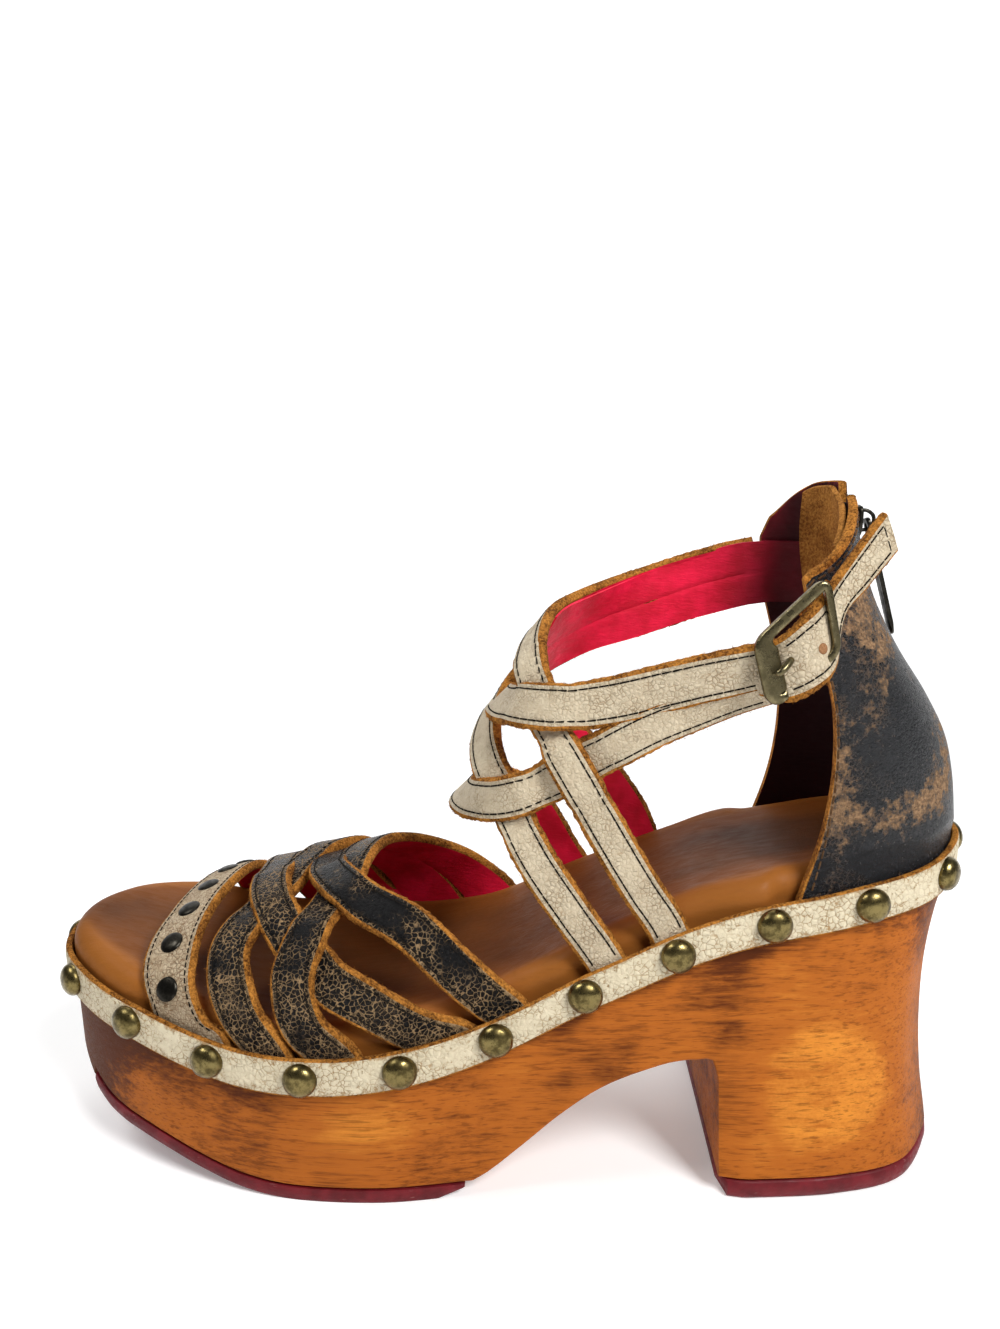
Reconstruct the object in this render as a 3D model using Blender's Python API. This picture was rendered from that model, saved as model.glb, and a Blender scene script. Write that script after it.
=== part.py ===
"""Left platform clog sandal: wooden sole, studded rand, woven straps and a zipped heel counter.

X runs from toe to heel, -Y is the outer (buckle) side, +Z is up and the soles rest on z = 0.
Tables are in millimetres.
"""

import math

import bmesh
import bpy
import numpy as np

MM = 0.001
SHIFT = np.array([0.0, 0.7, 0.0])  # puts the middle of the whole shoe over the origin
GAP = 0.3  # clear gap between neighbouring pieces
SHARP = math.radians(35)
MIDDLE = (0.0, 0.0, 0.0)

# Sole unit
HALF_LENGTH = 125.0
STATIONS = 30
OUTLINE = (  # x along the shoe, lateral half width, medial half width
    (-125, 0, 0),
    (-122, 12.5, 13),
    (-115, 20.8, 23.6),
    (-100, 30.6, 33.4),
    (-75, 39.1, 41.1),
    (-50, 43.2, 42.0),
    (-30, 43.3, 40.0),
    (0, 38.7, 33.5),
    (35, 36.0, 29.8),
    (65, 32.7, 29.6),
    (90, 30.0, 29.5),
    (110, 23.5, 23.0),
    (121, 11.5, 11.5),
    (125, 0, 0),
)
RIM = (  # x, height of the rand's top edge
    (-125, 55.8),
    (-95, 50.0),
    (-65, 43.2),
    (-35, 43.2),
    (-5, 49.4),
    (25, 64.4),
    (55, 77.2),
    (90, 84.6),
    (125, 91.4),
)
ROCKER = (  # x, height of the tread under the forefoot
    (-130, 47),
    (-125, 36),
    (-122, 29.5),
    (-118, 23.3),
    (-113.5, 17.6),
    (-108.5, 14.0),
    (-102, 11.6),
    (-96, 10.2),
    (-87, 7.7),
    (-78, 4.8),
    (-68, 1.9),
    (-57, 0.3),
    (-50, 0),
    (0, 0),
)
ARCH = (  # x, height of the wood's underside between forefoot and heel
    (-5.5, 3.8),
    (-3, 5.2),
    (6.8, 13.3),
    (17, 22.6),
    (27, 30.0),
    (39.5, 35.3),
    (47, 37.3),
    (53, 37.6),
    (56.6, 36.0),
    (57.6, 32.0),
)
WOOD_DROP = 5.3  # wood top below the rand's top edge
RAND_HEIGHT = 10.0
RAND_THICK = 1.8
WALL_DRAFT = 1.1  # how much further in the wood wall is at the floor
HEEL_SIDE = ((0, -2.6), (6, -2.0), (25, 0.2), (45, 1.7), (75, 2.1))  # height, inset of the wood
HEEL_BACK = ((0, 1.7), (6, 2.3), (20, 4.8), (40, 6.6), (58, 6.3), (70, 4.6), (80, 2.4), (86, 2.1))
BREAST_X = 58.5
OUTSOLE_FRONT, OUTSOLE_BACK = -113.0, -7.6
OUTSOLE_THICK = 3.5
OUTSOLE_INSET = 3.2
LIFT_HEIGHT = 5.0
INSOLE_WALL = 5.3  # inner side of the groove that the straps stand in
INSOLE_SECTION = (  # inset from the rand's outer face, height from the rand's top edge
    (2.1, -5.0),
    (2.1, -3.2),
    (INSOLE_WALL, -3.2),
    (INSOLE_WALL, 2.6),
    (6.3, 4.6),
    (8.6, 5.5),
)
RAND_STUDS = 24
RAND_STUD_START = 22.1  # along the rim from the toe, on the lateral side
LATERAL_STUDS, LATERAL_STEP = 10, 25.0  # the rest share what is left of the rim
RAND_STUD_R, RAND_STUD_H = 4.3, 2.5
RAND_STUD_DROP = 4.9  # stud centre below the rand's top edge

# Straps
STRAP_THICK = 2.4
STRAP_INSET = (RAND_THICK + INSOLE_WALL) / 2  # strap centre in from the rand's outer face
STRAP_END = 2.2  # strap ends below the rand's top edge
SEAT_REACH = 14.0  # straps follow the groove's curve up to this height above it
WEAVE = 2.0  # spacing of the centres where one strap crosses another
WEAVE_REACH = 8.0
ROOT_REACH = 40.0  # over this run an ankle strap turns from the rim's direction to the ankle's
LAST_FULLNESS = 2.3
LAST = (  # x, height of the strap centre over the top of the foot
    (-112, 57),
    (-90, 65),
    (-75, 69.5),
    (-60, 73.3),
    (-45, 77),
    (-30, 81.5),
    (-15, 86.5),
    (0, 92.5),
    (15, 99.5),
)
TOE_WIDTH, VAMP_WIDTH, ANKLE_WIDTH, TONGUE_WIDTH = 13.6, 11.3, 10.0, 10.8
TOE_STRAP = (  # degrees around the foot from the lateral rim, x
    (0, -76.3),
    (8, -81.2),
    (28, -84.5),
    (55, -85.8),
    (82, -85.2),
    (103, -83.6),
    (130, -82),
    (155, -81),
    (172, -79.2),
    (180, -76.5),
)
VAMP_STRAPS = {  # degrees around the foot from the lateral rim, x
    "front_outer": (
        (0, -56.5), (15, -64), (33, -68.5), (46, -69.4), (60, -66.9),
        (80, -62), (105, -54), (130, -43), (155, -30), (180, -18),
    ),
    "rear_outer": (
        (0, -39), (12, -47.5), (30, -50.5), (50, -47.5), (75, -43.5),
        (100, -40), (120, -35.5), (140, -26), (160, -13), (180, -1),
    ),
    "front_inner": (
        (0, -11), (6, -20), (17, -31), (28, -41.5), (40, -48.5), (52, -54.8),
        (73, -62), (90, -64.5), (115, -66), (145, -66.5), (162, -63.5), (180, -54),
    ),
    "rear_inner": (
        (0, 4), (10, -3), (23, -10.8), (43, -22), (60, -35), (82, -47),
        (105, -50), (130, -51.5), (150, -51), (168, -47.5), (180, -40),
    ),
}
VAMP_CROSSINGS = (  # over, under
    ("rear_outer", "front_inner"),
    ("rear_inner", "rear_outer"),
    ("front_inner", "front_outer"),
    ("front_outer", "rear_inner"),
)
FOOT_AXIS = ((-60, 0, 55), (-5, 0, 85), (30, 0, 120), (55, 0, 150), (78, 0, 158))
ANKLE_STRAPS = {  # x, y, z of the strap centre
    "low_outer": (
        (29, -32.9, 63.5), (27, -33.2, 67), (19, -34.0, 79), (9.6, -32.4, 93), (4.4, -28.2, 101.5),
        (0.3, -22.2, 107), (-2.6, -14.5, 111.5), (-3.8, -5.5, 115.5), (-3, 3, 119), (0, 12, 122.4),
        (5.5, 20.5, 127), (13, 26.2, 131.9), (26, 29.1, 138.4), (41, 29.6, 143.2), (57, 27.2, 149.4),
        (66, 24.4, 152.6), (73.5, 22.1, 154.8),
    ),
    "high_outer": (
        (44.5, -31.6, 70.4), (43, -31.9, 74), (35.7, -33.0, 85.7), (25.6, -32.8, 103),
        (19.5, -31.4, 114), (14.2, -28.6, 123), (9.8, -23.4, 131), (8.2, -16.5, 137), (8.6, -8, 141.5),
        (10.4, 0.5, 144.5), (14, 10, 146.6), (20.5, 18.5, 148.2), (29, 25.2, 150.3), (41, 29.4, 153.6),
        (57, 27.4, 159), (65, 23.4, 161.8), (71.7, 20.4, 163.4),
    ),
    "low_inner": (
        (24, 27.2, 61), (22, 27.6, 64.5), (17.8, 28.2, 71), (11.5, 27.8, 82), (5, 25.2, 90),
        (-2, 19, 95), (-7.6, 11, 97.3), (-9.8, 1, 98.5), (-9, -8.4, 100), (-5.2, -18, 102.3),
        (1.8, -25.6, 105.3), (9.9, -29.6, 109.3), (23, -31.8, 117.4), (39.3, -32.4, 126.9),
        (48.6, -32.6, 131.6), (57, -33.0, 136.2), (64.5, -33.9, 139.6),
    ),
    "high_inner": (
        (43, 26.1, 70.2), (42.3, 26.5, 74), (40, 27.8, 80.5), (33.4, 28.8, 91), (24, 29.0, 102.5),
        (15, 26.6, 112), (7, 20.5, 118.5), (2.4, 11, 122.3), (0.6, 0, 124.8), (2.2, -11.6, 126.4),
        (8.2, -22.2, 128), (16.6, -28.1, 129.4), (28.4, -31.2, 132), (41, -32.4, 135.7),
        (49.5, -33.2, 138.4), (57, -33.6, 140.4), (64.5, -34.2, 142.6),
    ),
    "tongue": (
        (60.5, -33.6, 139.2), (65, -34.2, 141.2), (69.1, -34.4, 144.3),
        (73.4, -33.5, 149.8), (77.5, -31.6, 156.6), (83.2, -29.2, 163.9), (89.1, -26.8, 170.4),
    ),
}
ANKLE_CROSSINGS = (  # over, under
    ("low_inner", "low_outer"),
    ("high_outer", "low_inner"),
    ("high_inner", "high_outer"),
    ("low_outer", "high_inner"),
)
TOE_STUDS = 7
TOE_STUD_R, TOE_STUD_H = 2.9, 1.1
TOE_STUD_SPAN = (0.14, 0.86)  # first and last stud along the strap

# Heel counter and zip
COUNTER_THICK = 2.2
COUNTER = (  # z, x of the outer face at the back, half width, x where the side turns, x of the front
    (76, 122.6, 29.0, 84, 73.5),
    (84, 122.6, 28.6, 84, 76.2),
    (98, 121.6, 28.6, 84, 80.3),
    (110, 119.8, 28.6, 83, 82.0),
    (119, 117.2, 28.4, 82, 82.2),
    (130, 111.2, 27.8, 80, 81.3),
    (142, 103.0, 26.6, 76, 78.2),
    (156, 95.6, 24.4, 71, 74.2),
    (168, 92.2, 21.4, 68, 72.6),
    (184, 90.4, 17.0, 66, 73.0),
)
COUNTER_TRIM = {-1: (0.0, 1.0), 1: (-1.2, 0.0)}  # side: added half width, flare at the foot of the front
COUNTER_FREE_Z, COUNTER_FREE_SLOPE = 92.0, 0.3  # above this height it leaves the groove's outline
COLLAR = (  # turn from side to back, lateral top, medial top
    (0.0, 160.5, 168.5),
    (0.16, 162.5, 174.0),
    (0.3, 165.5, 179.0),
    (0.5, 170.5, 182.6),
    (0.75, 177.0, 183.6),
    (1.0, 181.0, 183.4),
)
ZIP_HALF = 3.4  # half width of the gap at the back
ZIP_TOP, ZIP_BOTTOM = 178.0, 91.5
ZIP_THICK = 1.6
ZIP_SUNK = 0.4  # zip face in from the counter's outer face
GUARD_DROP, GUARD_BOTTOM = 1.6, 148.0  # below the collar, and its lower edge
SLIDER_Z = 173.5
SLIDER_LIFT = 1.1  # slider off the zip's face
PULL_TURN = math.radians(16.5)  # lean of the pull from the vertical at rest
PULL_THICK = 1.1
PULL_SHAPE = ((-0.6, 1.5), (5.2, 1.9), (8.0, 1.7), (29.5, 1.5), (31.0, 1.0))  # run from the hinge, half width
EYE_HALF, EYE_SPAN = 0.85, (0.6, 4.6)
BAIL = ((-2.1, -2.6), (0.2, -2.3), (1.5, -1.2), (1.5, 1.2), (0.2, 2.3), (-2.1, 2.6))  # x, z from the hinge
GUARD_REACH, GUARD_THICK = 0.55, 1.5

# Buckle corners, x, y, z
BUCKLE = ((60.6, -38.1, 146.6), (75.6, -36.4, 160.5), (78.0, -37.2, 146.0), (65.2, -39.3, 133.8))
BUCKLE_BAR = 1.35  # half thickness of its bars
CORNER_R = 2.4
PLATE_WIDTH = 5.0
PRONG = ((69.5, -37.5, 143.8), (67.5, -39.0, 142.6), (65.4, -41.2, 141.2), (63.6, -41.6, 140.2))
PRONG_R = 0.8
CHAPE = ((72.5, -30.6, 151), (75, -29.2, 153), (77.5, -27.6, 155.5), (80, -26.4, 158))
CHAPE_WIDTH, CHAPE_THICK = 7.0, 1.6


def smooth(knots, values, at):
    """Value of a cubic through the knots, whose slopes come from each knot's neighbours."""
    knots = np.asarray(knots, float)
    values = np.asarray(values, float)
    at = np.clip(np.asarray(at, float), knots[0], knots[-1])
    slopes = np.gradient(values, knots, axis=0)
    i = np.clip(np.searchsorted(knots, at, side="right") - 1, 0, len(knots) - 2)
    span = knots[i + 1] - knots[i]
    t = (at - knots[i]) / span
    if values.ndim == 2:
        t, span = t[:, None], span[:, None]
    return (
        (2 * t**3 - 3 * t**2 + 1) * values[i]
        + (t**3 - 2 * t**2 + t) * span * slopes[i]
        + (3 * t**2 - 2 * t**3) * values[i + 1]
        + (t**3 - t**2) * span * slopes[i + 1]
    )


def table(rows, column, at):
    """Smooth value of one column of a table whose first column is the knot."""
    rows = np.asarray(rows, float)
    return smooth(rows[:, 0], rows[:, column], at)


def half_widths(x):
    """Lateral and medial half widths of the rand's outer face at x."""
    rows = np.asarray(OUTLINE, float)
    turn = np.arccos(np.clip(-rows[:, 0] / HALF_LENGTH, -1, 1))
    at = np.arccos(np.clip(-np.asarray(x, float) / HALF_LENGTH, -1, 1))
    return smooth(turn, rows[:, 1], at), smooth(turn, rows[:, 2], at)


def rim_height(x):
    """Height of the rand's top edge at x."""
    return table(RIM, 1, x)


def unit(vectors):
    """Rows scaled to length one."""
    return vectors / np.linalg.norm(vectors, axis=-1, keepdims=True)


def rim(count=STATIONS):
    """Plan loop of the rand's outer face from the toe tip down the lateral side, with inward normals."""
    turn = np.linspace(0, np.pi, count + 2)
    x = -HALF_LENGTH * np.cos(turn)
    lateral, medial = half_widths(x)
    loop = np.vstack([np.c_[x, -lateral], np.c_[x, medial][-2:0:-1]])
    tangent = unit(np.roll(loop, -1, 0) - np.roll(loop, 1, 0))
    return loop, np.c_[-tangent[:, 1], tangent[:, 0]]


def rim_ring(inset, drop):
    """Loop in space: the rim moved in by inset and set drop above the rand's top edge."""
    loop, inward = rim()
    plan = loop + inward * np.reshape(inset, (-1, 1))
    return np.c_[plan, rim_height(loop[:, 0]) + drop]


def across_faces(n):
    """Faces that close a rim loop, station by station from one side to the other."""
    count = (n - 2) // 2
    quads = [(k, k + 1, n - k - 1, n - k) for k in range(1, count)]
    return [(0, 1, n - 1), *quads, (count, count + 1, count + 2)]


def finish(name):
    """Material for a named finish."""
    colour, metallic, rough = FINISHES[name]
    made = bpy.data.materials.get(name)
    if made is None:
        made = bpy.data.materials.new(name)
        made.use_nodes = True
        shader = made.node_tree.nodes["Principled BSDF"]
        shader.inputs["Base Color"].default_value = (*colour, 1)
        shader.inputs["Metallic"].default_value = metallic
        shader.inputs["Roughness"].default_value = rough
    return made


FINISHES = {  # colour, metallic, roughness
    "clog_wood": ((0.42, 0.17, 0.045), 0, 0.45),
    "red_rubber": ((0.16, 0.012, 0.03), 0, 0.55),
    "cream_leather": ((0.62, 0.56, 0.44), 0, 0.6),
    "black_leather": ((0.035, 0.035, 0.04), 0, 0.5),
    "tan_leather": ((0.36, 0.15, 0.05), 0, 0.45),
    "tan_suede": ((0.5, 0.22, 0.06), 0, 0.85),
    "antique_brass": ((0.3, 0.24, 0.1), 1, 0.35),
    "dark_metal": ((0.06, 0.055, 0.05), 1, 0.4),
    "zip_cloth": ((0.02, 0.02, 0.02), 0, 0.8),
}


def add(name, points, faces, look, origin):
    """Object at its origin, from points in millimetres and faces, triangulated and facing outwards."""
    mesh = bpy.data.meshes.new(name)
    mesh.from_pydata(((np.asarray(points) - origin) * MM).tolist(), [], faces)
    work = bmesh.new()
    work.from_mesh(mesh)
    bmesh.ops.remove_doubles(work, verts=work.verts, dist=1e-6)
    bmesh.ops.triangulate(work, faces=work.faces)
    bmesh.ops.recalc_face_normals(work, faces=work.faces)
    if work.calc_volume(signed=True) < 0:
        bmesh.ops.reverse_faces(work, faces=work.faces)
    work.to_mesh(mesh)
    work.free()
    mesh.shade_smooth()
    mesh.set_sharp_from_angle(angle=SHARP)
    made = bpy.data.objects.new(name, mesh)
    made.location = (np.asarray(origin) + SHIFT) * MM
    mesh.materials.append(finish(look))
    bpy.context.scene.collection.objects.link(made)
    return made


def loft(name, rings, look, closed=False, caps=None, origin=MIDDLE):
    """Solid through rings of equal point count, closed end to end or capped."""
    rings = [np.asarray(ring, float) for ring in rings]
    n = len(rings[0])
    last = len(rings) - 1
    faces = []
    for r in range(len(rings) if closed else last):
        a, b = r * n, (r + 1) % len(rings) * n
        faces += [(a + i, a + (i + 1) % n, b + (i + 1) % n, b + i) for i in range(n)]
    if not closed:
        ends = caps or [tuple(range(n))]
        faces += [tuple(reversed(face)) for face in ends]
        faces += [tuple(last * n + i for i in face) for face in ends]
    return add(name, np.vstack(rings), faces, look, origin)


def helper(made):
    """Marks an object as a Boolean operand that isn't a piece itself."""
    made.hide_render = True
    made.display_type = "WIRE"
    return made


def boolean(made, other, operation):
    """Adds an exact Boolean of another object."""
    step = made.modifiers.new(other.name, "BOOLEAN")
    step.operation = operation
    step.solver = "EXACT"
    step.object = helper(other)


def wall_inset(loop, inward, height):
    """Inset of the wood's wall from the rand's outer face at each rim point and height."""
    x = loop[:, 0]
    low = np.clip(1 - height / rim_height(x), 0, 1)
    sole = RAND_THICK + GAP + WALL_DRAFT * low
    back = np.clip(-inward[:, 0], 0, 1) ** 1.5
    heel = table(HEEL_SIDE, 1, height) * (1 - back) + table(HEEL_BACK, 1, height) * back
    share = np.clip((x - 45) / 20, 0, 1)
    return sole * (1 - share) + heel * share


def tread(x):
    """Height of the forefoot's tread at x."""
    return np.maximum(table(ROCKER, 1, x), 0)


def clog_base():
    """Wooden platform and heel in one block, cut from below by the rocker, arch and breast."""
    loop, inward = rim()
    rings = []
    for level in (0, 0.08, 0.25, 0.45, 0.65, 0.8, 0.92, 1):
        height = level * (rim_height(loop[:, 0]) - WOOD_DROP)
        plan = loop + inward * wall_inset(loop, inward, height)[:, None]
        rings.append(np.c_[plan, height])
    wood = loft("clog_base", rings, "clog_wood", caps=across_faces(len(loop)))
    toe = np.linspace(-130, OUTSOLE_FRONT - GAP, 12)
    ball = np.linspace(OUTSOLE_FRONT - GAP, OUTSOLE_BACK + GAP, 26)
    bend = np.linspace(ARCH[0][0], ARCH[-1][0], 22)
    under = np.vstack(
        [
            [(-140, -20), (-140, tread(-130))],
            np.c_[toe, tread(toe)],
            np.c_[ball, tread(ball) + OUTSOLE_THICK + GAP],
            np.c_[bend, table(ARCH, 1, bend)],
            [(BREAST_X, LIFT_HEIGHT + GAP), (140, LIFT_HEIGHT + GAP), (140, -20)],
        ]
    )
    sides = [np.c_[under[:, 0], np.full(len(under), y), under[:, 1]] for y in (-70, 70)]
    boolean(wood, loft("underside", sides, "clog_wood"), "DIFFERENCE")


def forefoot_outsole():
    """Rubber tread that follows the rocker under the forefoot."""
    rings = []
    for x in np.linspace(OUTSOLE_FRONT, OUTSOLE_BACK, 24):
        lateral, medial = (float(w) - OUTSOLE_INSET for w in half_widths(x))
        low = float(tread(x))
        high = low + OUTSOLE_THICK
        rings.append([(x, -lateral, low), (x, medial, low), (x, medial, high), (x, -lateral, high)])
    loft("forefoot_outsole", rings, "red_rubber")


def heel_lift():
    """Rubber top piece under the heel, straight at the breast and round at the back."""
    loop, inward = rim()
    rings = []
    for height, extra in ((0, 0.5), (0.5, 0), (LIFT_HEIGHT, 0)):
        inset = wall_inset(loop, inward, np.full(len(loop), float(LIFT_HEIGHT)))
        plan = loop + inward * (inset + extra)[:, None]
        plan = plan[plan[:, 0] > BREAST_X + 1.5]
        front = BREAST_X + 0.2 + extra
        corners = [(front, plan[0, 1]), (front, plan[-1, 1])]
        ring = np.vstack([corners[:1], plan, corners[1:]])
        rings.append(np.c_[ring, np.full(len(ring), height)])
    loft("heel_lift", rings, "red_rubber")


def rand():
    """Leather band round the top edge of the wood."""
    inner = RAND_THICK
    rings = [
        rim_ring(0.0, -RAND_HEIGHT),
        rim_ring(0.0, 0.0),
        rim_ring(inner, 0.0),
        rim_ring(inner, -RAND_HEIGHT),
    ]
    loft("rand", rings, "cream_leather", closed=True)


def insole():
    """Padded footbed with a flange under the strap ends and a rolled top edge."""
    rings = [rim_ring(inset, drop) for inset, drop in INSOLE_SECTION]
    loft("insole", rings, "tan_leather", caps=across_faces(len(rings[0])))


def dome(name, centre, outward, radius, height, look, sides=8):
    """Low domed stud head that stands on a face with the given outward direction."""
    outward = unit(np.asarray(outward, float))
    side = unit(np.cross(outward, (0.3, 0.2, 0.93)))
    up = np.cross(outward, side)
    turn = np.linspace(0, 2 * np.pi, sides, endpoint=False)[:, None]
    circle = np.cos(turn) * side + np.sin(turn) * up
    rings = []
    for spread, rise in ((1, 0), (1, 0.25), (0.62, 0.9)):
        rings.append(np.asarray(centre) + circle * radius * spread + outward * height * rise)
    loft(name, rings, look)


def rand_studs():
    """Studs along the lateral side at the step seen there, and evenly round the rest of the rand."""
    loop, inward = rim(240)
    closed = np.vstack([loop, loop[:1]])
    closed = np.c_[closed, rim_height(closed[:, 0]) - RAND_STUD_DROP]
    run = np.r_[0, np.cumsum(np.linalg.norm(np.diff(closed, axis=0), axis=1))]
    inward = np.vstack([inward, inward[:1]])
    seen = LATERAL_STUDS * LATERAL_STEP
    other = (run[-1] - seen) / (RAND_STUDS - LATERAL_STUDS)
    for k in range(RAND_STUDS):
        past = min(k, LATERAL_STUDS) * LATERAL_STEP + max(k - LATERAL_STUDS, 0) * other
        at = (RAND_STUD_START + past) % run[-1]
        *spot, nx, ny = (np.interp(at, run, c) for c in (*closed.T, *inward.T))
        out = unit(np.array([-nx, -ny, 0.0]))
        spot = np.array(spot) + out * GAP
        dome(f"rand_stud_{k + 1:02d}", spot, out, RAND_STUD_R, RAND_STUD_H, "antique_brass")


def last_point(x, around):
    """Point of the forefoot's strap surface: a full arch from groove to groove over the foot."""
    lateral, medial = half_widths(x)
    left, right = STRAP_INSET - lateral, medial - STRAP_INSET
    base = rim_height(x) - STRAP_END
    top = table(LAST, 1, x)
    c, s = np.cos(around), np.abs(np.sin(around))
    power = 2 / LAST_FULLNESS
    y = (left + right) / 2 - (right - left) / 2 * np.sign(c) * np.abs(c) ** power
    return np.stack([x, y, base + (top - base) * s**power], axis=-1)


def even(points, step):
    """Run along dense points and an even set of places about step apart."""
    run = np.r_[0, np.cumsum(np.linalg.norm(np.diff(points, axis=0), axis=1))]
    return run, np.linspace(0, run[-1], max(2, round(run[-1] / step) + 1))


def vamp_path(rows, step):
    """Centre line and outward normals of a strap laid over the forefoot."""
    rows = np.asarray(rows, float)
    knots = np.arange(len(rows))
    dense = smooth(knots, rows, np.linspace(0, knots[-1], 500))
    around, x = np.radians(np.clip(dense[:, 0], 0.01, 179.99)), dense[:, 1]
    run, places = even(last_point(x, around), step)
    around, x = np.interp(places, run, around), np.interp(places, run, x)
    tiny = 0.004
    turn = last_point(x, np.clip(around + tiny, 0, np.pi)) - last_point(x, np.clip(around - tiny, 0, np.pi))
    along = last_point(x + 0.5, around) - last_point(x - 0.5, around)
    return last_point(x, around), unit(np.cross(along, turn))


def nearest_on_axis(points):
    """Nearest point of the foot's axis to each point."""
    axis = np.asarray(FOOT_AXIS, float)
    best = np.full(len(points), np.inf)
    found = np.zeros_like(points)
    for a, b in zip(axis[:-1], axis[1:]):
        t = np.clip((points - a) @ (b - a) / ((b - a) @ (b - a)), 0, 1)
        spot = a + t[:, None] * (b - a)
        far = np.linalg.norm(points - spot, axis=1)
        found[far < best] = spot[far < best]
        best = np.minimum(best, far)
    return found


def groove_direction(point):
    """Direction of the groove between rand and insole beside a point, towards the heel."""
    ahead, behind = point[0] + 1, point[0] - 1
    side = 0 if point[1] < 0 else 1
    sign = (-1, 1)[side]
    ends = [(x, sign * float(half_widths(x)[side]), float(rim_height(x))) for x in (behind, ahead)]
    return unit(np.subtract(ends[1], ends[0]))


def ankle_path(rows, step, facing=None):
    """Centre line and outward normals of a strap round the instep and ankle, or facing one way."""
    rows = np.asarray(rows, float)
    chord = np.r_[0, np.cumsum(np.linalg.norm(np.diff(rows, axis=0), axis=1))]
    dense = smooth(chord, rows, np.linspace(0, chord[-1], 500))
    run, places = even(dense, step)
    centre = np.stack([np.interp(places, run, dense[:, i]) for i in range(3)], axis=1)
    tangent = unit(np.gradient(centre, axis=0))
    if facing is None:
        root = np.cross(groove_direction(centre[0]), (0.0, 0.0, -math.copysign(1, centre[0, 1])))
        share = np.clip(1 - places / ROOT_REACH, 0, 1)[:, None]
        out = unit(centre - nearest_on_axis(centre)) * (1 - share) + unit(root) * share
    else:
        out = np.tile(facing, (len(centre), 1))
    return centre, unit(out - np.sum(out * tangent, axis=1, keepdims=True) * tangent)


def weave(paths, crossings):
    """Moves the two straps of each crossing apart, the over strap out and the under strap in."""
    moves = {name: np.zeros(len(path[0])) for name, path in paths.items()}
    for over, under in crossings:
        (p, _), (q, normal) = paths[over], paths[under]
        far = np.linalg.norm(p[:, None] - q[None], axis=2)
        i, j = np.unravel_index(np.argmin(far), far.shape)
        short = WEAVE - (p[i] - q[j]) @ normal[j]
        for name, at, sign in ((over, i, 1), (under, j, -1)):
            points = paths[name][0]
            away = np.linalg.norm(points - points[at], axis=1)
            moves[name] += sign * short / 2 / (1 + (away / WEAVE_REACH) ** 6)
    return {
        name: (centre + normal * moves[name][:, None], normal)
        for name, (centre, normal) in paths.items()
    }


def rectangle(middle, side, up):
    """Corners of a rectangle from its middle and half sides."""
    return [middle - side - up, middle + side - up, middle + side + up, middle - side + up]


def seated(points):
    """Points moved so that those near the rim stand in the middle of the groove."""
    loop, inward = rim()
    after, along = np.roll(loop, -1, 0), unit(np.roll(loop, -1, 0) - loop)
    length = np.linalg.norm(after - loop, axis=1)
    away = points[:, None, :2] - loop
    share = np.clip(np.sum(away * along, axis=2), 0, length)
    spot = loop + along * share[..., None]
    near = np.argmin(np.linalg.norm(points[:, None, :2] - spot, axis=2), axis=1)
    normal = np.c_[-along[near, 1], along[near, 0]]
    inset = np.sum((points[:, :2] - loop[near]) * normal, axis=1)
    rise = points[:, 2] - rim_height(points[:, 0])
    move = (STRAP_INSET - inset) * np.clip(1 - rise / SEAT_REACH, 0, 1)
    return points + np.c_[normal * move[:, None], np.zeros(len(points))]


def ribbon(name, path, width, thick, look, grooves=(False, False)):
    """Flat strap along a path, cut along the groove at each end that stands in it."""
    centre, normal = path
    tangent = unit(np.gradient(centre, axis=0))
    across = np.cross(normal, tangent)
    run = np.r_[0, np.cumsum(np.linalg.norm(np.diff(centre, axis=0), axis=1))]
    lean = np.zeros(len(centre))
    for end, wanted in ((0, grooves[0]), (-1, grooves[1])):
        if wanted:
            line = groove_direction(centre[end])
            slope = (line @ tangent[end]) / (line @ across[end])
            lean += slope * np.clip(1 - np.abs(run - run[end]) / (3.2 * width), 0, 1) ** 1.5
    edge = (across + tangent * lean[:, None]) * width / 2
    left, right = centre - edge, centre + edge
    if any(grooves):
        left, right = seated(left), seated(right)
    face = normal * thick / 2
    rings = np.stack([left - face, right - face, right + face, left + face], axis=1)
    return loft(name, rings, look)


def toe_strap():
    """Wide strap over the toes, with a row of small studs."""
    path = vamp_path(TOE_STRAP, 3.6)
    ribbon("toe_strap", path, TOE_WIDTH, STRAP_THICK, "cream_leather", (True, True))
    centre, normal = seated(path[0]), path[1]
    run = np.r_[0, np.cumsum(np.linalg.norm(np.diff(centre, axis=0), axis=1))]
    for k, share in enumerate(np.linspace(*TOE_STUD_SPAN, TOE_STUDS)):
        spot = np.array([np.interp(share * run[-1], run, centre[:, i]) for i in range(3)])
        out = np.array([np.interp(share * run[-1], run, normal[:, i]) for i in range(3)])
        spot = spot + unit(out) * (STRAP_THICK / 2 + 2 * GAP)
        dome(f"toe_stud_{k + 1}", spot, out, TOE_STUD_R, TOE_STUD_H, "dark_metal")


def joined(name, made):
    """Joins overlapping straps into the first one, under one name."""
    first, *rest = made
    for other in rest:
        boolean(first, other, "UNION")
    first.name = name


def vamp_straps():
    """Four straps woven over the forefoot."""
    paths = {name: vamp_path(rows, 3.4) for name, rows in VAMP_STRAPS.items()}
    woven = weave(paths, VAMP_CROSSINGS)
    made = [
        ribbon(f"vamp_{name}", path, VAMP_WIDTH, STRAP_THICK, "black_leather", (True, True))
        for name, path in woven.items()
    ]
    joined("vamp_straps", made)


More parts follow.
